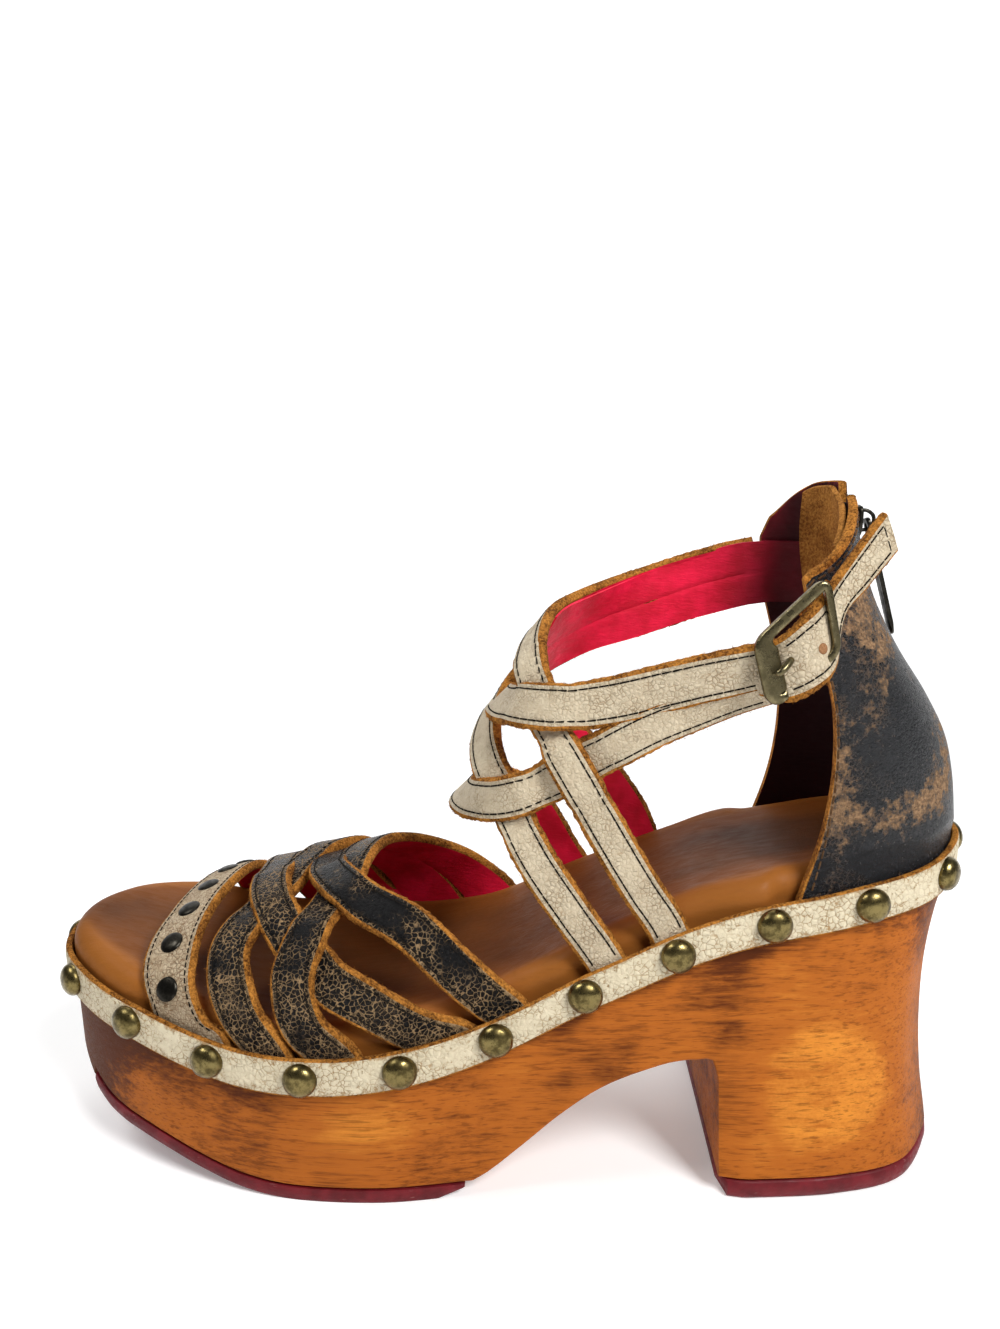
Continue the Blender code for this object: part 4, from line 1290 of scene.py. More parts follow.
@dataclass
class Strap:
    """A leather strap along a path: domed face, raw cut edges, lining, and stitching near both edges."""

    path: Path
    width: float
    thick: float
    grooves: tuple[bool, bool] = (False, False)
    crown: float = 0.22
    stitch_inset: float = 1.9
    stitch_dip: float = 0.14
    fray: float = 0.1
    fuzz: float = 2.4  # loose fibres for each millimetre of edge
    flare: tuple[float, float] = (0.0, 0.0)  # added to the left and right half width at the last end
    edges: Path | None = None  # left and right edge lines, where they don't follow from the width
    lip: float = 0.8  # raw rim seen from above
    age: float = 0.0  # how crackled it is
    seed: int = 1
    root_rub: tuple[float, float] = (0.3, 0.3)  # how rubbed the two ends are
    edge_rub: float = 0.5
    lean_reach: float = 3.2  # run over which a seated end leans to its groove, in widths
    flare_run: float = 45.0  # run over which the last end flares
    rub_run: float = 14.0  # run over which the rubbed ends fade
    fibre: Triple = (0.07, 0.25, 0.9)  # radius, least and greatest length of a loose fibre

    def frame(self) -> tuple[Array, Array, Array, Array]:
        """Middle, half width and normal of each section, and the run along the strap.

        Returns:
            Both edges are leaned to the groove's line at a seated end, so the section slants there.
        """
        centre, normal = self.path
        tangent = unit(np.gradient(centre, axis=0))
        across = np.cross(normal, tangent)
        run = run_along(centre)
        lean = np.zeros(len(centre))
        for end, wanted in zip((0, -1), self.grooves):
            if wanted:
                line = groove_direction(centre[end])
                slope = (line @ tangent[end]) / (line @ across[end])
                away = np.abs(run - run[end]) / (self.lean_reach * self.width)
                lean += slope * np.clip(1 - away, 0, 1) ** 1.5
        near = ease(run, run[-1] - self.flare_run, run[-1])[:, None]
        edge = across + tangent * lean[:, None]
        left = centre - edge * (self.width / 2 + self.flare[0] * near)
        right = centre + edge * (self.width / 2 + self.flare[1] * near)
        if self.edges is not None:
            left, right = self.edges
        if any(self.grooves):
            left, right = seated(left), seated(right)
        return (left + right) / 2, (right - left) / 2, normal, run

    def section(self) -> tuple[Array, Array, Array]:
        """Across share, height and finish of each point of the strap's closed section.

        Returns:
            The face is a shallow crown less two stitch grooves, the edges bulge and the lining is flat.
        """
        half, t = self.width / 2, self.thick / 2
        lip = self.lip / half
        top, bottom = 19, 9  # points across the face and across the lining
        s = np.linspace(-1 + lip, 1 - lip, top)
        line = (np.abs(s) * half - (half - self.stitch_inset)) / 0.4
        face = t - self.crown * s**4 - self.stitch_dip * np.exp(-(line**2))
        edge_s = np.array([1 - 0.4 * lip, 1, 1 + 0.25 * lip, 1, 1 - 0.4 * lip])
        edge_h = np.array([0.76, 0.4, -0.1, -0.6, -0.9]) * t
        under = np.linspace(1 - lip, -1 + lip, bottom)
        across = np.r_[s, edge_s, under, -edge_s]
        height = np.r_[face, edge_h, np.full(bottom, -t), edge_h[::-1]]
        finish = np.repeat((0, 1, 2, 1), (top - 1, 6, bottom - 1, 6))
        return across, height, finish

    def add_to(self, shell: Shell) -> None:
        """Adds the strap's skin: the section carried along the path, with frayed edges.

        Args:
            shell: takes the grid, with finishes face, edge and lining, and its rub mark.
        """
        middle, half, normal, run = self.frame()
        across, height, finish = self.section()
        draw = np.random.default_rng(self.seed)
        ragged = np.abs(across) > 0.985
        spread = draw.normal(0, self.fray, (len(run), len(across))) * ragged
        lift = draw.normal(0, self.fray * 0.5, (len(run), len(across))) * ragged
        size = np.linalg.norm(half, axis=1)[:, None]
        share = across[None] * (1 + spread / size)
        points = middle[:, None] + half[:, None] * share[..., None]
        points = points + normal[:, None] * (height + lift)[..., None]
        first, last = (np.exp(-away / self.rub_run) for away in (run, run[-1] - run))
        near = first * self.root_rub[0] + last * self.root_rub[1]
        margin = 1 - self.stitch_inset / (self.width / 2)
        rub = np.clip(near[:, None] + self.edge_rub * ease(np.abs(across), margin - 0.1, 1.0)[None], 0, 1)
        shell.grid(points, finish, (False, True), True, 1, {"rub": rub, "age": self.age})
        self.fibres(shell, draw)

    def fibres(self, shell: Shell, draw: np.random.Generator) -> None:
        """Loose fibres on both raw edges: thin cones at random places, leaning outwards.

        Args:
            shell: takes the fibres.
            draw: gives the random places, lengths and leans.
        """
        middle, half, normal, run = self.frame()
        count = int(run[-1] * self.fuzz)
        radius, shortest, longest = self.fibre
        cone = lathe(np.array([radius, 0.0]), np.array([0.0, 1.0]), 3)
        for sign in (-1, 1):
            places = draw.uniform(run[0] + 1, run[-1] - 1, count)
            rise = draw.uniform(-0.8, 0.75, count)[:, None] * self.thick / 2
            outer = at_run(run, half, places) * sign
            up = at_run(run, normal, places)
            spots = at_run(run, middle, places) + outer + up * rise
            lean = unit(outer) + up * draw.normal(0, 0.6, (count, 1)) + draw.normal(0, 0.45, (count, 3))
            frames = frames_from(lean)
            frames[:, 2] *= draw.uniform(shortest, longest, (count, 1))
            shell.stamps(cone, frames, spots, 1)

    def line(self, across: float, start: float, end: float, lift: float = 0.0) -> Path:
        """A line on the strap's face.

        Args:
            across: share of the half width from the middle.
            start: run left out at the first end.
            end: run left out at the last.
            lift: height over the face.

        Returns:
            Points and normals.
        """
        middle, half, normal, run = self.frame()
        top = self.thick / 2 - self.crown * across**4 + lift
        points = middle + half * across + normal * top
        keep = (run >= start) & (run <= run[-1] - end)
        return points[keep], normal[keep]

    def seams(self, start: float = 3.0, end: float = 3.0) -> list[Path]:
        """The two stitch lines near the edges."""
        share = 1 - self.stitch_inset / (self.width / 2)
        return [self.line(s, start, end, 0.06 - self.stitch_dip) for s in (-share, share)]


@dataclass
class Seam:
    """A row of thread stitches along a line."""

    pitch: float = 2.7
    length: float = 2.2
    radius: float = 0.27

    def add_to(self, shell: Shell, path: Path, finish: int = 0) -> None:
        """Lays capsules end to end along the line.

        Args:
            shell: takes the stitches.
            path: points and outward normals of the line.
            finish: their finish.
        """
        points, normal = path
        run = run_along(points)
        count = int(run[-1] // self.pitch)
        if count < 1:
            return
        places = (np.arange(count) + 0.5) * run[-1] / count
        tangent = unit(np.gradient(points, axis=0))
        frames = frames_from(at_run(run, normal, places), at_run(run, tangent, places))
        shell.stamps(capsule(self.length, self.radius), frames, at_run(run, points, places), finish)


@dataclass
class ClogBase:
    """Wooden platform and block heel."""

    columns: int = 150
    levels: int = 34
    arris: float = 1.1  # radius of the bottom edges
    across: int = 16

    def underside(self, x: Array) -> Array:
        """Height of the wood's underside: rocker, tread's seat, arch, breast and heel seat.

        Args:
            x: places along the shoe.

        Returns:
            The height at each.
        """
        toe = np.linspace(-130, OUTSOLE_FRONT - GAP - 0.02, 40)
        ball = np.linspace(OUTSOLE_FRONT - GAP, OUTSOLE_BACK + GAP, 80)
        bend = np.linspace(ARCH[0][0], ARCH[-1][0], 90)
        xs = np.r_[toe, ball, bend, BREAST_X, 140]
        seat = LIFT_HEIGHT + GAP
        zs = np.r_[tread(toe), tread(ball) + OUTSOLE_THICK + GAP, table(ARCH, 1, bend), seat, seat]
        return np.interp(x, xs, zs)

    def build(self) -> None:
        """Carries the wall's profile round the rim and closes it across the top and the underside."""
        breast = np.linspace(ARCH[-1][0] - 1.5, BREAST_X + 1.0, 22)
        waist = np.linspace(OUTSOLE_BACK, ARCH[0][0] + 3, 8)
        x = np.unique(np.round(np.r_[stations(self.columns), breast, waist], 2))
        loop, inward = rim(x)
        top = rim_height(loop[:, 0]) - WOOD_DROP

        def plan(z: Array, extra: float = 0.0) -> Array:
            """Wall points at heights, moved in by an extra inset."""
            inset = wall_inset(loop, inward, z) + extra
            return loop + inward * inset[:, None]

        low = np.full(len(loop), 20.0)
        for _ in range(6):
            low = self.underside(plan(low)[:, 0])
        low = np.minimum(low, top - 4)
        rows = []
        for share in np.linspace(0, 1, self.levels):
            z = top + (low + self.arris - top) * share
            rows.append(np.c_[plan(z), z])
        for turn in np.linspace(0, np.pi / 2, 6)[1:]:
            z = low + self.arris * (1 - math.sin(turn))
            rows.append(np.c_[plan(low, self.arris * (1 - math.cos(turn))), z])
        wall = np.stack(rows)
        shell = Shell()
        lids = [(lid(wall[end], self.across), False) for end in (0, -1)]
        for points, wrap in ((wall, True), *lids):
            shell.grid(points, 0, (False, wrap), marks=self.shade(points))
        dress(shell.build("clog_wood_block", [look(WOOD)], 30), Slot.WOOD, "clog_base")

    def shade(self, points: Array) -> dict[str, Array]:
        """Painted shade under the rand and at the toe, waist, breast and heel's back, and painted
        highlights on the side walls.

        Args:
            points: x, y, z last.

        Returns:
            The painted shade and painted highlight marks, sums of soft steps and bell curves held to 0 to
            1.
        """
        x, z = points[..., 0], points[..., 2]
        under_rand = rim_height(x) - 10.0 - z
        # painted shade under the rand's lip, at the toe, the waist, the breast and the heel's back
        burnish = 0.75 * np.exp(-np.clip(under_rand, 0, None) / 4.5)
        burnish += 1.0 * ease(-x, 82, 112) + 0.3 * np.exp(-((x - 22) ** 2) / 500) * ease(under_rand, 4, 22)
        burnish += 0.35 * np.exp(-((x - 60) ** 2) / 40) + 0.35 * ease(x, 100, 120)
        # painted highlight: a golden oval on the heel's side, and lighter spots at the ball and near the
        # toe
        oval = np.sqrt(((x - 86) / 19) ** 2 + ((z - 30) / 19) ** 2)
        glow = 0.9 * (1 - ease(oval, 0.7, 1.08))
        glow += 0.6 * np.exp(-(((x + 35) / 15) ** 2) - ((z - 25) / 8) ** 2)
        glow += 0.4 * np.exp(-(((x + 82) / 5) ** 2) - ((z - 16) / 9) ** 2)
        return {"burnish": np.clip(burnish, 0, 1), "glow": np.clip(glow, 0, 1)}


@dataclass
class Soles:
    """Rubber tread under the forefoot and top piece under the heel."""

    inset: float = 3.2
    bulge: float = 0.35
    ribs: int = 26
    rib_height: float = 0.25
    rounding: float = 0.8  # run over which the ends thin
    bevel: tuple[float, float] = (0.72, 7.0)  # share of the thickness cut from the back end, and its run

    def build(self) -> None:
        """Builds both rubber pieces."""
        self.forefoot()
        self.lift()

    def forefoot(self) -> None:
        """Rounded strip section carried along the rocker, with shallow ribs moulded across its tread."""
        x = np.linspace(OUTSOLE_FRONT, OUTSOLE_BACK, 157)
        lateral, medial = (w - self.inset for w in half_widths(x))
        low = tread(x)
        t = np.linspace(-1, 1, 25)
        past = (np.abs(x - x.mean()) - (np.ptp(x) / 2 - self.rounding)) / self.rounding
        end = np.sqrt(np.clip(1 - np.clip(past, 0, 1) ** 2, 0, 1))
        rib = self.rib_height * (0.5 + 0.5 * np.cos(2 * np.pi * self.ribs * np.linspace(0, 1, len(x))))
        sole_y = (medial - lateral)[:, None] / 2 + t * (medial + lateral)[:, None] / 2
        sole_z = low[:, None] + rib[:, None] * ease(1 - np.abs(t), 0.04, 0.12)
        side = np.array([0.12, 0.5, 0.88])
        out = self.bulge * np.sin(side * np.pi)
        up_y, up_z = medial[:, None] + out, low[:, None] + OUTSOLE_THICK * side
        top_z = np.repeat(low[:, None] + OUTSOLE_THICK, len(t), 1)
        down_y, down_z = -lateral[:, None] - out, up_z[:, ::-1]
        y = np.hstack([sole_y, up_y, sole_y[:, ::-1], down_y])
        z = np.hstack([sole_z, up_z, top_z, down_z])
        middle = (low + OUTSOLE_THICK / 2)[:, None]
        z = middle + (z - middle) * (0.6 + 0.4 * end)[:, None]
        share, length = self.bevel
        bevel = share * np.clip((x - OUTSOLE_BACK + length) / length, 0, 1)[:, None]
        z += (low[:, None] + OUTSOLE_THICK - z) * bevel
        shell = Shell()
        shell.grid(np.stack([np.repeat(x[:, None], y.shape[1], 1), y, z], axis=-1), 0, (False, True), True)
        dress(shell.build("forefoot_tread", [look(WINE_RUBBER)], 50), Slot.RUBBER, "forefoot_outsole")

    def lift(self) -> None:
        """Rounded profile of the top piece carried round the heel's outline."""
        loop, inward = rim(stations(190))
        inset = wall_inset(loop, inward, np.full(len(loop), LIFT_HEIGHT))
        profile = (  # height, added inset
            (0.0, 2.0), (0.0, 0.9), (0.25, 0.3), (0.8, 0.0), (2.4, -0.25),
            (LIFT_HEIGHT - 0.4, 0.0), (LIFT_HEIGHT, 0.5), (LIFT_HEIGHT, 2.0),
        )
        rows = []
        for height, extra in profile:
            plan = loop + inward * (inset + extra)[:, None]
            plan = plan[loop[:, 0] > BREAST_X + 1.5]
            front = np.full(9, BREAST_X + 0.2 + extra)
            ends = np.linspace(plan[-1, 1], plan[0, 1], 11)[1:-1]
            ring = np.vstack([plan, np.c_[front, ends]])
            rows.append(np.c_[ring, np.full(len(ring), height)])
        shell = Shell()
        shell.grid(np.stack(rows), 0, (False, True), True)
        dress(shell.build("heel_top_piece", [look(WINE_RUBBER)], 50), Slot.RUBBER, "heel_lift")


@dataclass
class Rand:
    """Cream leather band round the top of the wood, with its brass studs."""

    height: float = 10.0
    studs: int = 24
    start: float = 22.1  # run along the rim from the toe to the first stud
    lateral: tuple[int, float] = (10, 25.0)  # studs at the step seen on the lateral side
    drop: float = 4.9
    stud_size: tuple[float, float] = (4.45, 2.9)

    def build(self) -> None:
        """Builds the band and the studs."""
        self.band()
        self.heads()

    def band(self) -> None:
        """Soft rectangle carried round the rim, slightly wavy, its cut edges left raw."""
        loop, inward = rim(stations(330))
        run = run_along(np.vstack([loop, loop[:1]]))[:-1]
        t, h = RAND_THICK, self.height
        profile = (  # inset, height from the top edge
            (0.25, -h), (0.02, -h + 0.5), (-0.08, -h + 2.2), (0.0, -5.0), (-0.1, -2.0), (0.0, -0.9),
            (0.2, -0.3), (0.6, 0.0), (1.2, 0.05), (t - 0.1, -0.25), (t, -1.0), (t, -5.0),
            (t, -h + 0.4), (t - 0.3, -h),
        )
        wave = 0.1 * np.sin(run / 9.1) + 0.07 * np.sin(run / 3.7 + 1)
        z = rim_height(loop[:, 0])
        rows = []
        for inset, rise in profile:
            outer = np.clip(1 - inset / t, 0, 1)
            plan = loop + inward * (inset + wave * 0.35 * outer)[:, None]
            rows.append(np.c_[plan, z + rise + wave * 0.8 * ease(rise, -4, 0)])
        # lower edge: raw cut edge and wear, partly standing for the painted shadow where the band meets the
        # wood
        finish = np.array([1, 0, 0, 0, 0, 0, 1, 1, 1, 1, 1, 1, 1, 1])
        rub = np.array([0.9, 0.6, 0.3, 0.08, 0.2, 0.5, 0.8, 1, 1, 1, 1, 1, 1, 1])
        shell = Shell()
        points = np.stack(rows, axis=1)
        shell.grid(points, finish, (True, True), marks={"rub": np.tile(rub, (len(loop), 1))})
        dress(shell.build("rand_band", [look(RAND_CREAM), look(RAW_EDGE)]), Slot.CREAM, "rand")

    def heads(self) -> None:
        """Dome heads at an even run on the lateral side, sharing out the rest of the rim."""
        loop, inward = rim(stations(242))
        closed = np.vstack([loop, loop[:1]])
        closed = np.c_[closed, rim_height(closed[:, 0]) - self.drop]
        run = run_along(closed)
        seen, step = self.lateral
        other = (run[-1] - seen * step) / (self.studs - seen)
        k = np.arange(self.studs)
        places = (self.start + np.minimum(k, seen) * step + np.maximum(k - seen, 0) * other) % run[-1]
        out = -at_run(run, np.vstack([inward, inward[:1]]), places)
        out = unit(np.c_[out, np.zeros(self.studs)])
        shell = Shell()
        shell.stamps(dome(*self.stud_size), frames_from(out), at_run(run, closed, places) + out * GAP)
        nodes = [f"rand_stud_{i + 1:02d}" for i in range(self.studs)]
        dress(shell.build("rand_studs", [look(BRASS)], 60), Slot.BRASS, *nodes)


@dataclass
class Insole:
    """Padded footbed with a rolled edge that tucks in behind the strap ends."""

    roots: list[tuple[Array, float]]  # plan place and half width of each strap end
    free: float = 2.4  # inset of the edge where no strap stands
    tucked: float = 5.25  # inset of the edge behind a strap
    roll: float = 4.6  # width of the rolled edge
    rise: float = 5.6  # height of the roll over the rand's top edge
    counter_x: float = 73.0  # where the counter's front edge stands
    dish: float = 1.1  # how far the middle is pressed down
    fill: float = 0.8  # how firmly it is padded

    def build(self) -> None:
        """Roll profile carried round the rim, then lines across the dished top and the flat underside."""
        loop, inward = rim(stations(230))
        tuck = ease(loop[:, 0], self.counter_x - 6, self.counter_x)
        for place, half in self.roots:
            away = np.linalg.norm(loop - place, axis=1)
            tuck = np.maximum(tuck, 1 - ease(away, half + 1.0, half + 18))
        wall = self.free + (self.tucked - self.free) * tuck
        z = rim_height(loop[:, 0])
        rows = [np.c_[loop + inward * (wall + 0.2)[:, None], z - 4.2]]
        rows.append(np.c_[loop + inward * wall[:, None], z - 1.0])
        for turn in np.linspace(0, np.pi / 2, 11):
            inset = wall + self.roll * (1 - math.cos(turn))
            rows.append(np.c_[loop + inward * inset[:, None], z + 0.4 + (self.rise - 0.4) * math.sin(turn)])
        rows.append(np.c_[loop + inward * (wall + self.roll + 2.2)[:, None], z + self.rise - 0.35])
        edge = np.stack(rows)
        top = lid(edge[-1], 33)
        t, x = np.linspace(-1, 1, top.shape[1]), top[:, :1, 0]
        pressed = (1 - t**2)[None] * ease(x + HALF_LENGTH, 4, 45) * ease(HALF_LENGTH - x, 2, 30)
        top[..., 2] -= self.dish * pressed
        shell = Shell()
        for points, wrap in ((edge, True), (top, False), (lid(edge[0], 5), False)):
            shell.grid(points, 0, (False, wrap), marks=self.shade(points))
        made = dress(shell.build("padded_insole", [look(FOOTBED)], 60), Slot.TAN, "insole")

    def shade(self, points: Array) -> dict[str, Array]:
        """Wear and painted shade in the middle of the heel, ball and toes, and a lighter border along the
        roll that is a painted highlight.

        Args:
            points: x, y, z last.

        Returns:
            The mark of wear and painted shade, and the border mark of painted highlight, 0 to 1.
        """
        x, y = points[..., 0], points[..., 1]
        lateral, medial = half_widths(x)
        inside = np.minimum(y + lateral, medial - y)
        heel, ball = np.exp(-(((x - 78) / 34) ** 2)), np.exp(-(((x + 40) / 26) ** 2))
        # darkest at the heel and ball: wear and painted shade; the border is a painted highlight
        wear = ease(inside, 9, 24) * (0.45 + 0.4 * heel + 0.3 * ball)
        wear += 0.3 * ease(-x, 96, 122)
        return {"wear": np.clip(wear, 0, 1), "border": 1 - ease(inside, 6, 15)}


@dataclass
class ToeStrap:
    """Wide cream strap over the toes with small flat studs."""

    width: float = 13.6
    thick: float = 3.0
    studs: int = 7
    span: tuple[float, float] = (0.14, 0.86)
    stud_size: tuple[float, float] = (3.1, 0.9)
    stitch: Triple = (2.0, 1.5, 0.22)  # of the stitches: pitch, length, radius
    strap: Strap = field(init=False)

    def __post_init__(self) -> None:
        """Lays the strap over the last."""
        path = vamp_path(TOE_STRAP, STRAP_STEP)
        self.strap = Strap(
            path, self.width, self.thick, grooves=(True, True), crown=0.3, stitch_inset=1.7,
            age=0.5, seed=11, edge_rub=0.42,
        )

    def build(self) -> None:
        """Builds the strap, its stitching and its studs."""
        shell = Shell()
        self.strap.add_to(shell)
        made = shell.build("toe_strap_leather", skins(TOE_CREAM, RED_LINING))
        dress(made, Slot.CREAM, "toe_strap")
        seam = Shell()
        for path in self.strap.seams():
            Seam(*self.stitch).add_to(seam, path)
        dress(seam.build("toe_strap_stitches", [look(THREAD)]), Slot.CREAM)
        points, normal = self.strap.line(0.0, 0, 0)
        run = run_along(points)
        places = np.linspace(*self.span, self.studs) * run[-1]
        heads = Shell()
        frames = frames_from(at_run(run, normal, places))
        # the toe studs are dark brass painted near-black: a painted dark reflection
        heads.stamps(dome(*self.stud_size, 24, 6), frames, at_run(run, points, places))
        nodes = [f"toe_stud_{i + 1}" for i in range(self.studs)]
        dress(heads.build("toe_strap_studs", [look(DARK_METAL)], 60), Slot.DARK, *nodes)


@dataclass
class VampStraps:
    """Four black straps woven over the forefoot."""

    width: float = 11.3
    thick: float = 3.2
    spacing: float = 3.3
    reach: float = 9.5
    stitch: Triple = (2.2, 2.05, 0.2)  # of the stitches: pitch, length, radius
    spread: dict[str, tuple] = field(default_factory=lambda: {  # flare of the inner ends, and age
        "front_outer": ((3.0, 8.5), 0.55),
        "rear_outer": ((3.0, 3.0), 0.2),
        "front_inner": ((3.0, 0.0), 0.6),
        "rear_inner": ((8.0, 2.0), 0.0),
    })
    straps: dict[str, Strap] = field(init=False)

    def __post_init__(self) -> None:
        """Lays and weaves the straps."""
        paths = {name: vamp_path(rows, STRAP_STEP) for name, rows in VAMP_STRAPS.items()}
        woven = weave(paths, VAMP_CROSSINGS, self.spacing, self.reach)
        self.straps = {
            name: Strap(
                path, self.width, self.thick, grooves=(True, True), crown=0.4, stitch_inset=2.0,
                flare=self.spread[name][0], age=self.spread[name][1], seed=21 + k,
                root_rub=(0.5, 0.5), edge_rub=0.62,
            )
            for k, (name, path) in enumerate(woven.items())
        }

    def build(self) -> None:
        """Builds the leather and the stitching."""
        shell, seam = Shell(), Shell()
        for strap in self.straps.values():
            strap.add_to(shell)
            for path in strap.seams():
                Seam(*self.stitch).add_to(seam, path)
        made = shell.build("vamp_strap_leather", skins(BLACK, RED_LINING))
        dress(made, Slot.BLACK, "vamp_straps")
        dress(seam.build("vamp_strap_stitches", [look(THREAD)]), Slot.BLACK)


@dataclass
class AnkleStraps:
    """Four cream straps crossed over the instep, the far band's lining and the buckle's tongue."""

    width: float = 10.0
    thick: float = 3.2
    spacing: float = 3.3
    reach: float = 9.5
    hole: Triple = (73.6, -38.5, 146.2)
    stitch: Triple = (2.5, 2.45, 0.21)  # of the stitches: pitch, length, radius
    merge: tuple[float, float] = (36.0, 52.0)  # x over which the upper strap comes to lie on the lower
    merge_lift: float = 0.9
    wider: dict[str, float] = field(default_factory=lambda: {"high_inner": 1.5, "low_inner": 0.8})
    straps: dict[str, Strap] = field(init=False)
    tongue: Strap = field(init=False)

    def __post_init__(self) -> None:
        """Lays and weaves the straps, and lifts the upper one over the lower towards the buckle."""
        paths = {name: ankle_path(rows, STRAP_STEP) for name, rows in ANKLE_STRAPS.items()}
        woven = weave(paths, ANKLE_CROSSINGS, self.spacing, self.reach)
        for name, lift in (("high_inner", self.merge_lift), ("low_inner", -self.merge_lift)):
            centre, normal = woven[name]
            share = ease(centre[:, 0], *self.merge) * (centre[:, 1] < 0)
            woven[name] = (centre + normal * (lift * share)[:, None], normal)
        self.straps = {
            name: Strap(
                path, self.width + self.wider.get(name, 0.0), self.thick, grooves=(True, False),
                crown=0.25, seed=41 + k, edge_rub=0.4,
            )
            for k, (name, path) in enumerate(woven.items())
        }
        self.tongue = self.lay_tongue()

    def lay_tongue(self) -> Strap:
        """Strap between the tongue's two smooth edge lines, facing square to both directions.

        Returns:
            The strap.
        """
        rows = np.asarray(TONGUE, float)
        chord = run_along((rows[:, :3] + rows[:, 3:]) / 2)
        dense = smooth(chord, rows, np.linspace(0, chord[-1], round(chord[-1] / 0.7)))
        lower, upper = dense[:, :3], dense[:, 3:]
        centre = (lower + upper) / 2
        normal = unit(np.cross(np.gradient(centre, axis=0), upper - lower))
        width = float(np.linalg.norm(rows[-1, 3:] - rows[-1, :3]))
        return Strap(
            (centre, normal), width, self.thick, crown=0.2, stitch_inset=1.7,
            edges=(lower, upper), seed=51, edge_rub=0.35,
        )

    def build(self) -> None:
        """Builds the leather, the stitching and the tongue's hole."""
        shell, seam = Shell(), Shell()
        for strap in (*self.straps.values(), self.tongue):
            strap.add_to(shell)
        lines = [path for strap in self.straps.values() for path in strap.seams(3.0, 2.0)]
        for path in (*lines, *self.tongue_seam()):
            Seam(*self.stitch).add_to(seam, path)
        self.far_lining(shell)
        made = shell.build("ankle_strap_leather", skins(CREAM, RED_LINING))
        dress(made, Slot.CREAM, "ankle_straps")
        dress(seam.build("ankle_strap_stitches", [look(THREAD)]), Slot.CREAM)
        self.holes()

    def tongue_seam(self) -> list[Path]:
        """Stitching along both edges of the tongue and across its square end.

        Returns:
            Points and normals of the three lines.
        """
        share = 1 - self.tongue.stitch_inset / (self.tongue.width / 2)
        length = run_along(self.tongue.path[0])[-1]
        sides = self.tongue.seams(0.16 * length, self.tongue.stitch_inset)
        ends = [path[0][-1] for path in sides]
        t = np.linspace(0, 1, 12)[:, None]
        across = ends[0] * (1 - t) + ends[1] * t
        normal = np.tile(sides[0][1][-1], (12, 1))
        rise = self.tongue.crown * share**4 * (1 - (2 * t - 1) ** 4)
        return [*sides, (across + normal * rise, normal)]

    def far_lining(self, shell: Shell) -> None:
        """One sheet behind the two strips of the far band, carried on inside the medial counter.

        Args:
            shell: takes the sheet, red inside and cream outside.
        """
        lines, normals = [], []
        for name, start in (("low_outer", 11.0), ("high_outer", 2.0)):
            centre, normal = self.straps[name].path
            keep = (centre[:, 1] > start) & (centre[:, 2] > 115)
            run = run_along(centre[keep])
            places = np.linspace(0, run[-1], 90)
            lines.append(at_run(run, centre[keep], places))
            normals.append(at_run(run, normal[keep], places))
        out = unit(normals[0] + normals[1])
        margin = unit(lines[1] - lines[0]) * (self.width / 2 - 0.35)
        low, high = lines[0] - margin, lines[1] + margin
        t = np.linspace(0, 1, 25)
        depth = self.thick / 2 + 1.15 - 0.35 * np.exp(-(((t - 0.5) / 0.03) ** 2))
        sheet = low[:, None] * (1 - t)[None, :, None] + high[:, None] * t[None, :, None]
        sunk = depth[None] + 0.9 * ease(np.linspace(0, 1, 90), 0.6, 1.0)[:, None]
        sheet = sheet - out[:, None] * sunk[..., None]
        turn, z = np.broadcast_arrays(np.linspace(0.06, 0.5, 12)[:, None], sheet[-1:, :, 2])
        tail = counter_point(turn, z, Side.MEDIAL, COUNTER_THICK + 1.5)
        sheet = np.concatenate([sheet[:-3], tail])
        out = np.concatenate([out[:-3], np.tile(out[-1], (len(tail), 1))])
        points = np.concatenate([sheet, (sheet + out[:, None] * 0.5)[:, ::-1]], axis=1)
        finish = np.repeat((2, 0), len(t))
        # deep mark: painted shade growing towards the back inside the counter
        shell.grid(points, finish, (False, True), True, 2, {"deep": 0.9 * ease(points[..., 0], 56, 80)})

    def holes(self) -> None:
        """Punched hole of the tongue: a small dished ring pressed into its face."""
        points, normal = self.tongue.line(-0.08, 0, 0)
        k = int(np.argmin(np.linalg.norm(points - self.hole, axis=1)))
        wide = np.array([0.0, 0.55, 0.85, 1.1, 1.3, 1.3, 0.0])
        high = np.array([0.06, 0.09, 0.16, 0.15, 0.04, -0.3, -0.3])
        shell = Shell()
        shell.stamps(lathe(wide, high, 20), frames_from(normal[k : k + 1]), points[k : k + 1])
        dress(shell.build("tongue_holes", [look(HOLE_RIM)], 60), Slot.CREAM)


